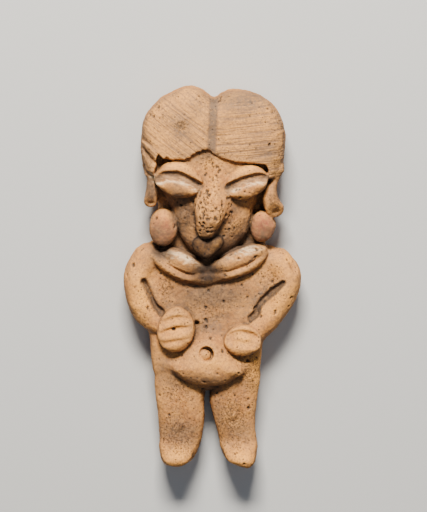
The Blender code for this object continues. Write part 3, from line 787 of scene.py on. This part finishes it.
x, y, z = places.T
PITTED = (
    (-0.6, 68.5, 4.2, 6.5, 1), (0.8, 78.5, 3, 5, 1), (4.8, 70, 2.2, 2.5, 0.6), (-6.5, 68, 1.8, 3, 0.5),
    (4.5, 63, 2.2, 2.5, 0.6), (-2, 63.5, 2, 1.5, 0.8), (11, 25, 2, 4.5, 0.14), (12.5, 50.5, 5, 2.5, 0.09),
    (-11.8, 48, 2, 3, 0.07), (21, 53.8, 1.4, 2.2, 0.4), (0.5, 82.5, 4, 2, 0.2),
    (-3.6, 84.6, 2.6, 0.7, 1.6, 15),
)
SPECKLED = (
    (-0.6, 70, 5, 9, 0.36), (6.5, 64, 4, 5, 0.42), (10.5, 25, 5, 8, 0.48), (5.5, 13, 7, 12, 0.48),
    (-9, 9, 8, 9, 0.43), (-17, 43, 5, 9, 0.32), (-12, 48, 4, 6, 0.42), (16, 50, 6, 6, 0.36),
    (0, 43, 10, 7, 0.36), (-9, 20, 7, 8, 0.38), (-16, 72.5, 3, 4, 0.45), (16.5, 70, 3, 4, 0.5),
    (-16.8, 82, 3, 6, 0.35), (16.5, 80, 3, 6, 0.35), (-7.8, 90.8, 2.6, 1.8, 0.56), (0, 81.5, 5, 4, 0.42),
    (17.5, 44.5, 3.4, 6, 0.26, -38), (-6.5, 66, 2.6, 4, 0.45),
)
density = strongest(0.03 + 0.03 * step(swell(places, 12, 21), 0, 1), PITTED)
density *= step(normals[:, 2], 0.1, 0.5) * (1 - 0.88 * step(z, 14.9, 15.4) * (y > 82))
eye_guard = np.ones(len(x))
for lids, slit in eyes:
    eye_guard *= step(lids[0](x, y, z), 0.1, 0.6)
density *= (0.15 + 0.85 * eye_guard) * (1 - 0.85 * patch(-1, 28, 7, 5))
density *= step(lips[0](x, y, z), 0.1, 0.6)
set_points(mesh, "pitted", np.clip(density, 0, 1))
speckled = strongest(0.15 + 0.1 * swell(places, 9, 22), SPECKLED)
set_points(mesh, "speckled", speckled * step(z, 4, 8))
figurine = bpy.data.objects.new("figurine_clay", mesh)
bpy.context.scene.collection.objects.link(figurine)

clay_look = bpy.data.materials.new("worn_clay")
pits = bpy.data.node_groups.new("burnt_out_pits", "GeometryNodeTree")
pits.interface.new_socket("Geometry", in_out="OUTPUT", socket_type="NodeSocketGeometry")
pits.interface.new_socket("Geometry", in_out="INPUT", socket_type="NodeSocketGeometry")
pit_inputs = {
    name: pits.interface.new_socket(name, in_out="INPUT", socket_type=kind).identifier
    for name, kind in (
        ("Density", "NodeSocketFloat"), ("Radius", "NodeSocketFloat"), ("Depth", "NodeSocketFloat"),
        ("Seed", "NodeSocketInt"), ("Clay", "NodeSocketMaterial"),
    )
}


def add_node(tree, kind, feeds, settings):
    """A node of a tree with its settings and what feeds it."""
    made = tree.nodes.new(kind)
    for name, value in settings.items():
        setattr(made, name, value)
    for socket, source in feeds:
        if hasattr(source, "is_output"):
            tree.links.new(source, made.inputs[socket])
        else:
            made.inputs[socket].default_value = source
    return made


def pit_node(kind, feeds=(), **settings):
    """A node of the pits' tree."""
    return add_node(pits, kind, feeds, settings)


def mapped(make, value, low, high, start, end, way="SMOOTHSTEP"):
    """A number mapped from low and high to start and end, in the tree that make adds its nodes to."""
    feeds = [("Value", value), ("From Min", low), ("From Max", high), ("To Min", start), ("To Max", end)]
    return make("ShaderNodeMapRange", feeds, interpolation_type=way).outputs["Result"]


def pit_sum(one, other, operation="MULTIPLY"):
    """Two numbers of the pits' tree put together."""
    return pit_node("ShaderNodeMath", [(0, one), (1, other)], operation=operation).outputs[0]


given = pit_node("NodeGroupInput").outputs
where = pit_node("GeometryNodeInputNamedAttribute", [("Name", "pitted")], data_type="FLOAT").outputs[0]
spots = pit_node(
    "GeometryNodeDistributePointsOnFaces",
    [("Mesh", given["Geometry"]), ("Density", pit_sum(where, given["Density"])), ("Seed", given["Seed"])],
    distribute_method="RANDOM",
).outputs["Points"]
position = pit_node("GeometryNodeInputPosition").outputs["Position"]
nearest = pit_node(
    "GeometryNodeSampleNearest", [("Geometry", spots), ("Sample Position", position)], domain="POINT"
).outputs["Index"]
place = pit_node(
    "GeometryNodeSampleIndex", [("Geometry", spots), ("Value", position), ("Index", nearest)],
    data_type="FLOAT_VECTOR", domain="POINT",
).outputs["Value"]
chance = pit_node(
    "FunctionNodeRandomValue", [(2, 0), (3, 1), ("ID", nearest), ("Seed", given["Seed"])], data_type="FLOAT"
).outputs[1]
size = mapped(pit_node, pit_sum(chance, 1.5, "POWER"), 0, 1, SMALLEST_PIT, 1, "LINEAR")
gap = pit_node("ShaderNodeVectorMath", [(0, position), (1, place)], operation="DISTANCE").outputs["Value"]
ragged = pit_node("ShaderNodeTexNoise", [("Vector", position), ("Scale", 1.6), ("Detail", 2)]).outputs["Fac"]
ragged = mapped(pit_node, ragged, 0.3, 0.7, 0.55, 1.5, "LINEAR")
share = pit_sum(pit_sum(gap, pit_sum(given["Radius"], size), "DIVIDE"), ragged)
inside = mapped(pit_node, share, 0.5, 1.1, 1, 0)
inward = pit_sum(pit_sum(inside, pit_sum(given["Depth"], size)), -1)
normal = pit_node("GeometryNodeInputNormal").outputs["Normal"]
push = pit_node("ShaderNodeVectorMath", [(0, normal), ("Scale", inward)], operation="SCALE").outputs["Vector"]
stored = pit_node(
    "GeometryNodeStoreNamedAttribute", [("Geometry", given["Geometry"]), ("Name", "pit"), ("Value", inside)],
    data_type="FLOAT", domain="POINT",
).outputs["Geometry"]
sunk = pit_node("GeometryNodeSetPosition", [("Geometry", stored), ("Offset", push)]).outputs["Geometry"]
real = pit_node("GeometryNodeRealizeInstances", [("Geometry", sunk)]).outputs["Geometry"]
done = pit_node("GeometryNodeSetMaterial", [("Geometry", real), ("Material", given["Clay"])]).outputs[0]
pit_node("NodeGroupOutput", [("Geometry", done)])

punch = figurine.modifiers.new("pits", "NODES")
punch.node_group = pits
for name, value in (
    ("Density", PITS_PER_AREA), ("Radius", PIT_RADIUS), ("Depth", PIT_DEPTH), ("Seed", PIT_SEED),
    ("Clay", clay_look),
):
    punch[pit_inputs[name]] = value
TRIANGLES = 196000
thin = figurine.modifiers.new("thin", "DECIMATE")
thin.ratio = TRIANGLES / (2 * len(quads))
solved = figurine.evaluated_get(bpy.context.evaluated_depsgraph_get())
plain = bpy.data.meshes.new_from_object(solved)
figurine.modifiers.clear()
figurine.data = plain
bpy.data.meshes.remove(mesh)
mesh = plain
mesh.name = "figurine_clay"


# The marks of paint, earth and painted light
# Dark earth and painted shade in all the crevices and under overhangs, worn high places, painted highlights
# on the places that face the light, pale slip with painted highlights in the eyes and on the collar, red
# paint on the ear discs, a dark film over the mouth with painted shadow under the chin, and grey clouds mixed
# with
# painted shade: numbers on the mesh, for the finish.
def crowding(field, radius):
    """How much clay lies within a radius of each grid cell, from 0 to 1."""
    wide = int(round(radius / PITCH))
    full = np.clip(0.5 - field / PITCH, 0, 1)
    for axis in range(3):
        line = np.moveaxis(full, axis, 0)
        held = np.concatenate([np.repeat(line[:1], wide + 1, 0), line, np.repeat(line[-1:], wide, 0)])
        total = np.cumsum(held, 0, dtype=np.float64)
        mean = (total[2 * wide + 1:] - total[:-2 * wide - 1]) / (2 * wide + 1)
        full = np.moveaxis(mean, 0, axis).astype(np.float32)
    return full


def sample(field, places):
    """A grid's value at each place."""
    at = np.clip((places - grid_low) / PITCH, 0, np.array(field.shape) - 1.001)
    base = at.astype(int)
    rest = at - base
    total = 0
    for i in range(8):
        corner = np.array([i >> 2, (i >> 1) & 1, i & 1])
        weight = np.prod(np.where(corner, rest, 1 - rest), 1)
        total = total + weight * field[tuple((base + corner).T)]
    return total


places = read(mesh.vertices, "co")
normals = read(mesh.vertex_normals, "vector")
x, y, z = places.T
near = sample(crowding(clay, 0.8), places)
wide = sample(crowding(clay, 2.4), places)
broad = sample(crowding(clay, 4.5), places) - 0.5 + 0.14 * step(z, 3, 9)
# Earth and painted shade: darker where the clay crowds round a place, in hollows, creases and under
# overhangs.
earth_and_shade = step(near, 0.56, 0.8) * 0.75 + step(wide, 0.54, 0.8) * 0.6 + step(broad, 0.14, 0.34) * 0.4
worn = step(0.5 - near, 0.02, 0.16) * 0.6 + step(0.5 - wide, 0, 0.2) * 0.4
set_points(mesh, "worn", np.clip(worn, 0, 1))


def on(shape, inner, outer):
    """1 on the places that belong to a piece, 0 further than outer from it."""
    return 1 - step(shape[0](x, y, z), inner, outer)


for cut, amount in zip(armpit_cuts, (0.15, 0.8)):
    earth_and_shade += amount * on(cut, 0.1, 0.5)
# More earth and painted shade: painted shadow of the chin on the collar, painted shade in the hollow under
# the left ear disc and painted shadow of the nose tip below it. The negative rows lighten the left jaw and
# the locks' broken ends.
EARTH_AND_SHADE_PATCHES = (
    (-1.2, 53.4, 3.4, 1.4, 0.5), (-13.2, 57.6, 3, 1.5, 1.2), (-8, 59.5, 3, 3, -0.35),
    (-0.9, 61, 2.2, 1, 1.2), (*LOCKS[0][-1][:2], 1.6, 1.6, -0.7), (*LOCKS[1][-1][:2], 2, 2, -0.8),
)
for row in EARTH_AND_SHADE_PATCHES:
    earth_and_shade += patch(*row)
set_points(mesh, "earth_and_shade", np.clip(earth_and_shade, 0, 1))


def beside(line, low, high):
    """1 on the places between low and high to the right of a line, seen from the front."""
    nearest, offset = np.full(len(x), np.inf), np.zeros(len(x))
    for _, gap, to_right in beside_line(smooth_curve(line, closed=False, steps=4), x, y):
        offset = np.where(gap < nearest, np.where(to_right, gap, -gap), offset)
        nearest = np.minimum(nearest, gap)
    return step(offset, low - 0.25, low + 0.25) * (1 - step(offset, high - 0.4, high + 0.4))


# Slip and painted highlights: the collar's slip lies only on the facets that face the light, and a painted
# glint marks the left eye's outer corner. The trough under each upper lid is darkened by painted shadow of
# the lid, with dust.
slip_and_highlight = np.zeros(len(x))
trough = np.zeros(len(x))
for lids, slit in eyes:
    lid = on(lids, 0.1, 0.6)
    slip_and_highlight = np.maximum(slip_and_highlight, lid * (beside(slit, 1.9, 2.6) + 0.2 * beside(slit, 0.9, 1.9)))
    trough = np.maximum(trough, lid * (0.7 * beside(slit, 0, 1.9) + 0.5 * beside(slit, 0, 1)))
for groove, middle in zip(COLLAR_GROOVES, ((-8, 55.4), (9.6, 57))):
    facing = step(z, 12.4, 13.4) * step(normals[:, 1], -0.2, 0.4) * patch(*middle, 4.8, 2.8)
    slip_and_highlight = np.maximum(slip_and_highlight, beside(groove, -4.4, -1) * facing)
EYE_CORNER_GLINT = ((-14.8, 77.6, 13), (1.4, 0.6, 1.5))
slip_and_highlight = np.maximum(slip_and_highlight, 0.9 * on(pellet(*EYE_CORNER_GLINT), 0, 0.6))
set_points(mesh, "slip_and_highlight", np.clip(slip_and_highlight, 0, 1))
set_points(mesh, "trough", trough)
red_left = on(disc_left, 0.1, 0.5) * step(z, 11.8, 13.2) * (0.35 + patch(-12.4, 63.2, 2.6, 3.4, 0.45))
red_right = on(disc_right, 0.1, 0.5) * step(z, 11.6, 13) * (0.45 + patch(13.4, 64.4, 1.9, 2.3, 0.65))
set_points(mesh, "red", np.maximum(red_left, red_right))
hair = step(-below_hairline(x, y, z), -0.1, 0.5) * step(z, 9, 12) * step(y, 76, 78)
parting = hair * np.exp(-((x - 0.25 - 0.045 * (y - 90)) / 1.2)**8)
# The mouth's dark film, partly painted shadow of the nose, and painted shadow of the chin over the middle of
# the collar.
mouth = on(lips, 0.05, 0.35) * step(z, 13, 14) * (1 - patch(1.8, 60.6, 1.8, 1.8, 0.15))
CHIN_SHADE = ((-1.2, 52.8, 3.8, 2, 1.3), (-1.4, 50.6, 4.6, 1.8, 1.1))
set_points(mesh, "film_and_shade", np.clip(strongest(mouth, CHIN_SHADE), 0, 1))
# Painted shade: under the chin on the collar, and on the jaw's sides that turn away from the light.
from_middle = np.abs(x - 0.8)
under_face = step(y, 53.5, 55) * step(16 - z, 0, 2)
chin = under_face * step(66 - y, 0, 6) * step(10.5 - from_middle, 0, 2)
chin *= 1 - 0.45 * step(-3 - x, 0, 2)
for strip in COLLAR_STRIPS:
    chin *= 1 - on(coil(strip, STRIP_DEPTH), 0.2, 0.7)
jaw = under_face * step(70 - y, 0, 5) * step(12 - from_middle, 0, 2)
jaw *= step(0.95 - normals[:, 2], 0, 0.3)
# Stains and painted shade: real stains on the shins, hair, locks and ear discs, and painted shade under the
# collar, below the left eye, on the nose tip, under the chin, between the hands and under the belly.
STAINS_AND_SHADE = (
    (0, 46, 10, 4, 1.3), (2, 40.6, 6, 2, 0.6), (-8.2, 68.5, 2.8, 5.5, 2, 10), (6.5, 69, 2.6, 2.6, 0.6),
    (-1, 83, 5, 1.4, 0.8), (-8, 8.5, 5.5, 4, 0.8), (-12.5, 25, 2.2, 5, 0.5), (-12.9, 61.8, 3.8, 4.4, 1.05),
    (13.6, 62, 3.6, 3.8, 1), (12, 85, 4, 3, 0.4), (-1.2, 63.3, 3.4, 2.2, 0.9), (4.2, 22, 7, 2.6, 0.5),
    (-16, 74.5, 2.4, 4, 1), (16.2, 73, 2.4, 4, 0.6), (-15.5, 55.5, 3, 2.4, 0.5),
    (-9.5, 22, 5, 1.6, 0.6, -20), (-17.3, 81.5, 2.2, 4, 0.6), (3, 12, 2.5, 8, 0.4, 8),
    (-1.2, 52.2, 4.2, 3, 1.3), (-12.7, 57.3, 2.8, 2, 1.5), (7.5, 98, 8, 1.6, 0.7),
    (-0.5, 37.5, 3.5, 2, 0.9), (-7.6, 50.6, 4, 1.2, 0.7, -25), (8, 51.4, 5, 1.2, 0.7, 22),
    (-1, 24, 7, 1.5, 0.9), (8.5, 9, 3, 4, 0.4),
)
# Painted shade on the steep sides of the raised pieces, except those that turn towards the light.
steep = step(z, 9, 11) * step(0.72 - normals[:, 2], 0, 0.4) * (1 - 0.7 * step(normals[:, 1], 0.1, 0.5))
for lock in LOCKS:
    steep *= 1 - patch(*lock[-1][:2], 2.4, 2.4, 0.9)
stain_and_shade = strongest(np.maximum(1.2 * chin, 0.75 * steep), STAINS_AND_SHADE)
set_points(mesh, "stain_and_shade", np.clip(stain_and_shade * step(z, 5, 8), 0, 1))
# Wear and painted highlights: lighter on the feet, arms, belly, hands, lids, ear discs and brow, where they
# face the light.
WEAR_AND_HIGHLIGHT_PATCHES = (
    (-9, 3.6, 3.4, 2.4, 1), (7.6, 3.4, 3.4, 2.4, 0.9), (-18, 46, 2.8, 6, 1), (17.5, 44.5, 2.6, 6, 0.7, -38),
    (0.5, 28.5, 5, 2, 0.6), (17.2, 53, 3, 2.6, 0.5), (-9.4, 37.5, 3.4, 4.6, 0.5), (8.2, 34.5, 3.4, 3, 0.6),
    (0.6, 75, 1.4, 5, 0.6), (-13, 87, 3, 2.5, 0.4, 30), (20.2, 55.6, 1.2, 1.6, 0.9), (0, 81, 3.4, 3, 0.5),
    (-9, 80.6, 5, 0.9, 0.8, -8), (9, 79.8, 5, 0.9, 0.9, 12), (-18.4, 51.5, 2, 2.6, 0.5),
    (11.5, 41.5, 2.4, 3, 0.5, -38), (12.2, 25, 2.6, 4.5, 0.9), (16.2, 68.6, 1.8, 1.6, 0.3),
    (-16, 70.6, 1.4, 1.3, 0.2), (-12.4, 66.8, 2.6, 1.3, 0.9), (12.4, 66.8, 1.6, 1, 0.8),
    (-1, 70.5, 2.6, 2.6, 0.3),
)
set_points(mesh, "wear_and_highlight", strongest(0 * x, WEAR_AND_HIGHLIGHT_PATCHES))
set_points(mesh, "parting", parting)
set_points(mesh, "hair_left", hair * (1 - step(x, -0.6, 0.2)) * (1 - parting))
set_points(mesh, "hair_right", hair * step(x, 0.4, 1.4) * (1 - parting))
# Grey clouds and painted shade: real grey smudges on the hair, cheeks and shins, and painted shade on the
# jaw, below the left eye, under the left ear disc, at the ear discs' lower rims, along the armpits, in the
# nose creases and under the belly.
GREY_AND_SHADE_PATCHES = (
    (-8, 90.5, 3.2, 4, 0.8), (-4, 95, 3, 3, 0.45), (9, 97, 6.5, 2.2, 1), (-8.2, 68.5, 1.6, 3.6, 0.8, 10),
    (0, 46.5, 9, 3.6, 0.6), (1.6, 39.6, 4, 1.6, 0.6), (12.2, 45.5, 1, 4.5, 1.2, -38),
    (14.3, 83.4, 2.2, 1.8, 0.7), (17, 91.6, 1.3, 1.6, 0.6), (-17.5, 88, 1.5, 3, 0.5),
    (-8.5, 9.8, 5.5, 2.6, 0.75), (7, 9.5, 3.5, 2.5, 0.5), (1.2, 14.5, 1.4, 5, 0.6, 10),
    (0.2, 37.4, 3.4, 1.4, 0.8), (9.6, 40.6, 1.6, 1.4, 0.9), (-12, 43.6, 2.6, 1.3, 0.6),
    (-12.5, 27, 1.5, 3, 0.6, -20), (6, 68.7, 1.2, 0.8, 1), (4.7, 65.8, 0.7, 1.1, 1, -20),
    (-2.5, 82.4, 3, 0.9, 0.8, 20), (14.5, 56, 1.5, 2, 0.5), (0, 20.5, 2.5, 2, 0.9),
    (-12.6, 57.2, 2.6, 1.8, 1.5), (-15.3, 46.5, 0.9, 3.6, 0.6, 20), (14, 45.3, 0.9, 3.6, 0.6, -38),
    (-15.7, 74, 1.8, 3.6, 1.1), (-16.8, 83, 1.6, 3, 0.5), (-14.9, 62.5, 1.2, 3.6, 0.9),
    (-10, 61, 1, 2.6, 0.8), (15.6, 62.5, 1.2, 2.8, 0.9), (-12.6, 60.2, 3.2, 1.3, 0.9),
    (13.4, 61.2, 2.8, 1.2, 0.9), (11, 62, 0.9, 2.4, 0.6), (-1, 23.6, 6.5, 1.2, 0.5),
    (-9.8, 25, 2, 1, 0.9, -35),
)
grey_and_shade = strongest(1.1 * jaw, GREY_AND_SHADE_PATCHES)
for cut in armpit_cuts:
    grey_and_shade = np.maximum(grey_and_shade, 1.6 * on(cut, 0.1, 0.5))
for cut in crease_cuts:
    grey_and_shade = np.maximum(grey_and_shade, 1.2 * on(cut, 0, 0.5))
set_points(mesh, "grey_and_shade", np.clip(grey_and_shade * step(z, 6, 9), 0, 1))


# The finish
# Low-fired clay, buff to orange, never glazed: matt, a little rubbed on the high places, clouded by the fire
# and brown with stains from the earth. Shade and highlights are also painted into its colour where the light
# falls.
# The earth, dust, grey and film colours also paint shade, and the slip and pale rubbed colours also paint
# highlights.
CLAY_BUFF = (0.445, 0.196, 0.055, 1)
CLAY_ORANGE = (0.355, 0.136, 0.035, 1)
CLAY_PALE = (0.61, 0.278, 0.066, 1)
CLAY_WEAR_AND_HIGHLIGHT = (0.83, 0.355, 0.056, 1)
CLAY_HAIR = (0.345, 0.167, 0.06, 1)
DARK_EARTH_AND_SHADE = (0.045, 0.028, 0.018, 1)
STAIN = (0.172, 0.093, 0.052, 1)
GREY = (0.13, 0.088, 0.062, 1)
SLIP_AND_HIGHLIGHT = (0.64, 0.45, 0.26, 1)
RED = (0.28, 0.06, 0.029, 1)
FILM_AND_SHADE = (0.016, 0.012, 0.011, 1)
PARTING_CLAY = (0.125, 0.078, 0.048, 1)
DUST_AND_SHADE = (0.105, 0.059, 0.033, 1)
MM_PER_METRE = 1000
clay_look.use_nodes = True
look = clay_look.node_tree
surface = look.nodes["Principled BSDF"]
surface.inputs["Metallic"].default_value = 0
surface.inputs["IOR"].default_value = 1.45


def look_node(kind, feeds=(), **settings):
    """A node of the clay's finish."""
    return add_node(look, kind, feeds, settings)


def number(name):
    """A number stored on the mesh."""
    return look_node("ShaderNodeAttribute", attribute_name=name).outputs["Fac"]


def cloud(where, scale, detail, rough, warp=0):
    """Noise with about scale bumps to the millimetre."""
    return look_node(
        "ShaderNodeTexNoise",
        [("Vector", where), ("Scale", scale), ("Detail", detail), ("Roughness", rough), ("Distortion", warp)],
    ).outputs["Fac"]


def between(value, low, high, start=0, end=1):
    """A number mapped from low and high to start and end."""
    return mapped(look_node, value, low, high, start, end)


def sum_of(one, other, operation="MULTIPLY"):
    """Two numbers put together."""
    return look_node("ShaderNodeMath", [(0, one), (1, other)], operation=operation, use_clamp=True).outputs[0]


def layer(under, over, amount):
    """One colour over another."""
    return look_node("ShaderNodeMix", [(0, amount), (6, under), (7, over)], data_type="RGBA").outputs[2]


place = look_node("ShaderNodeTexCoord").outputs["Object"]
mm = look_node("ShaderNodeVectorMath", [(0, place), ("Scale", MM_PER_METRE)], operation="SCALE").outputs[0]


def broken_up(name, scale, detail, rough, spread, warp=0):
    """A number stored on the mesh, broken up by noise: spread is what between needs."""
    return sum_of(number(name), between(cloud(mm, scale, detail, rough, warp), *spread))


def combed(turn, along, across):
    """Millimetres turned so that strokes run along X, and squeezed to streaks."""
    turned = look_node("ShaderNodeVectorRotate", [("Vector", mm), ("Angle", turn)], rotation_type="Z_AXIS")
    return look_node(
        "ShaderNodeVectorMath", [(0, turned.outputs[0]), (1, (along, across, 0.3))], operation="MULTIPLY"
    ).outputs["Vector"]


left_streaks = cloud(combed(STROKES_LEFT, 0.08, 1.7), 1, detail=3, rough=0.6)
right_streaks = cloud(combed(STROKES_RIGHT, 0.08, 1.9), 1, detail=3, rough=0.6)
left_comb = sum_of(number("hair_left"), between(left_streaks, 0.35, 0.65))
right_comb = sum_of(number("hair_right"), between(right_streaks, 0.35, 0.65))
streaks = sum_of(left_comb, right_comb, "ADD")
combed_area = sum_of(number("hair_left"), number("hair_right"), "ADD")
mottle = cloud(mm, 0.9, 5, 0.75)

colour = layer(CLAY_BUFF, CLAY_ORANGE, between(cloud(mm, 0.12, 4, 0.65, 0.6), 0.38, 0.66))
colour = layer(colour, CLAY_HAIR, sum_of(combed_area, 0.75))
colour = layer(colour, CLAY_PALE, between(mottle, 0.52, 0.66, 0, 0.6))
colour = layer(colour, STAIN, between(mottle, 0.49, 0.34, 0, 0.55))
colour = layer(colour, CLAY_PALE, sum_of(number("worn"), 0.4))
# Wear and painted highlights.
colour = layer(colour, CLAY_WEAR_AND_HIGHLIGHT, sum_of(number("wear_and_highlight"), 0.75))
colour = layer(colour, CLAY_PALE, sum_of(streaks, 0.42))
dark_strokes = sum_of(combed_area, between(streaks, 0, 0.45, 0.62, 0))
colour = layer(colour, STAIN, dark_strokes)
colour = layer(colour, PARTING_CLAY, sum_of(number("parting"), 0.95))

flecks = cloud(mm, 1.9, 4, 0.75)
colour = layer(colour, STAIN, between(flecks, 0.51, 0.38, 0, 0.6))
colour = layer(colour, CLAY_PALE, between(flecks, 0.54, 0.66, 0, 0.4))
# Grey clouds and painted shade.
colour = layer(colour, GREY, broken_up("grey_and_shade", 1.3, 5, 0.75, (0.34, 0.62, 1, 0.25), warp=0.4))
grit = cloud(mm, 2.3, 6, 0.85)
speck = between(sum_of(grit, sum_of(number("speckled"), 0.34), "ADD"), 0.655, 0.72)
holes = look_node("ShaderNodeTexVoronoi", [("Vector", mm), ("Scale", 1.25), ("Randomness", 1)])
luck = look_node("ShaderNodeSeparateColor", [("Color", holes.outputs["Color"])]).outputs[0]
hole = sum_of(
    between(holes.outputs["Distance"], 0.2, 0.34, 1, 0),
    between(sum_of(sum_of(number("speckled"), 0.62), luck, "SUBTRACT"), 0, 0.04),
)
speck = sum_of(speck, hole, "MAXIMUM")
colour = layer(colour, DARK_EARTH_AND_SHADE, sum_of(speck, 0.8))
colour = layer(colour, RED, broken_up("red", 0.8, 5, 0.7, (0.32, 0.62, 0.35, 1)))
# Stains and painted shade.
colour = layer(colour, DUST_AND_SHADE, broken_up("stain_and_shade", 0.7, 5, 0.7, (0.36, 0.66, 0.95, 0.5), warp=0.3))
# The mouth's film and painted shadow under the chin.
colour = layer(colour, FILM_AND_SHADE, broken_up("film_and_shade", 0.8, 4, 0.6, (0.25, 0.65, 1, 0.8)))
slip_streaks = cloud(combed(0.15, 0.35, 1.3), 1, detail=4, rough=0.7)
# Painted shadow of the upper lid in each eye's trough, with dust.
colour = layer(colour, DUST_AND_SHADE, sum_of(number("trough"), between(slip_streaks, 0.4, 0.66, 1, 0.35)))
# Slip, with painted highlights on the collar's facets that face the light and the glint at the left eye's
# corner.
colour = layer(colour, SLIP_AND_HIGHLIGHT, sum_of(number("slip_and_highlight"), between(slip_streaks, 0.4, 0.6, 0, 0.85)))
# Earth and painted shade in the crevices.
colour = layer(colour, DARK_EARTH_AND_SHADE, broken_up("earth_and_shade", 0.9, 5, 0.7, (0.25, 0.7, 1, 0.55)))
colour = layer(colour, DARK_EARTH_AND_SHADE, sum_of(number("pit"), 0.9))
look.links.new(colour, surface.inputs["Base Color"])

look.links.new(between(cloud(mm, 0.6, 4, 0.6), 0.3, 0.7, 0.68, 0.88), surface.inputs["Roughness"])
# Less sheen on the mouth's film and on the painted shadow under the chin.
look.links.new(between(number("film_and_shade"), 0, 1, 0.25, 0.08), surface.inputs["Specular IOR Level"])

grain = cloud(mm, 2.4, 5, 0.7)
fingers = cloud(mm, 0.45, 3, 0.5)
height = sum_of(sum_of(grain, 0.3), sum_of(fingers, 0.3), "ADD")
height = sum_of(height, sum_of(streaks, 0.3), "ADD")
height = sum_of(height, sum_of(speck, 0.35), "SUBTRACT")
bump = look_node("ShaderNodeBump", [("Height", height), ("Strength", 0.9), ("Distance", 0.0004)])
look.links.new(bump.outputs["Normal"], surface.inputs["Normal"])


# The real size
# The grid's hundredths become metres here, and the figurine takes the place of its solid in the frame, on its
# back with its head towards +Y.
solid_low, solid_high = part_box("figurine")
span = places[:, 1].max() - places[:, 1].min()
part = (solid_high[1] - solid_low[1]) / span
middle = (places.min(0) + places.max(0)) / 2
middle[2] = 0
centre = np.array([(solid_low[0] + solid_high[0]) / 2, (solid_low[1] + solid_high[1]) / 2, 0])
mesh.vertices.foreach_set("co", ((places - middle) * part + centre).astype(np.float32).ravel())
mesh.polygons.foreach_set("use_smooth", np.ones(len(mesh.polygons), bool))
mesh.update()
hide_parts("figurine")
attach(figurine, "root")


# The table, the light and the camera
# A plain pale table, one broad soft light beyond the head, a weak one over the chest, and a long lens that
# looks down on the figurine from a little beyond straight above.
TABLE = 3
PALE = (0.4, 0.395, 0.39, 1)
KEY_PLACE = (-0.03, 0.49, 0.5)
KEY_SIZE = (0.24, 0.14)
KEY_POWER = 19
KEY_COLOUR = (1, 0.96, 0.87)
FILL_PLACE = (0.15, -0.1, 0.8)
FILL_SIZE = (0.5, 0.5)
FILL_POWER = 1.5
SKY = (0.55, 0.72, 1, 1)
SKY_STRENGTH = 0.14
CHEST_TOP = (0, 0, 0.01)
bpy.ops.mesh.primitive_plane_add(size=TABLE)
table = bpy.context.object
table.name = "table"
table_look = bpy.data.materials.new("pale_table")
table_look.use_nodes = True
matt = table_look.node_tree.nodes["Principled BSDF"].inputs
matt["Base Color"].default_value = PALE
matt["Roughness"].default_value = 0.9
table.data.materials.append(table_look)


def softbox(name, place, size, power, colour=(1, 1, 1)):
    """A broad lamp aimed at the figurine's chest."""
    lamp = bpy.data.lights.new(name, "AREA")
    lamp.shape = "RECTANGLE"
    lamp.size, lamp.size_y = size
    lamp.energy = power
    lamp.color = colour
    stand = bpy.data.objects.new(name, lamp)
    bpy.context.scene.collection.objects.link(stand)
    stand.location = place
    stand.rotation_euler = (Vector(place) - Vector(CHEST_TOP)).to_track_quat("Z", "Y").to_euler()


softbox("key", KEY_PLACE, KEY_SIZE, KEY_POWER, KEY_COLOUR)
softbox("fill", FILL_PLACE, FILL_SIZE, FILL_POWER)
sky = bpy.data.worlds.new("studio")
sky.use_nodes = True
sky.node_tree.nodes["Background"].inputs["Color"].default_value = SKY
sky.node_tree.nodes["Background"].inputs["Strength"].default_value = SKY_STRENGTH
bpy.context.scene.world = sky

LOOK_DOWN = math.radians(7.5)
DISTANCE = 0.9
VIEW_HEIGHT = 0.1336
AIM = Vector((0.0003, 0.0056, 0.006))
lens = bpy.data.cameras.new("camera")
lens.lens = lens.sensor_width * DISTANCE / VIEW_HEIGHT
camera = bpy.data.objects.new("camera", lens)
bpy.context.scene.collection.objects.link(camera)
back = Vector((0, math.sin(LOOK_DOWN), math.cos(LOOK_DOWN)))
right = Vector((1, 0, 0))
camera.matrix_world = Matrix.Translation(AIM + back * DISTANCE) @ Matrix(
    (right, back.cross(right), back)
).transposed().to_4x4()
bpy.context.scene.camera = camera
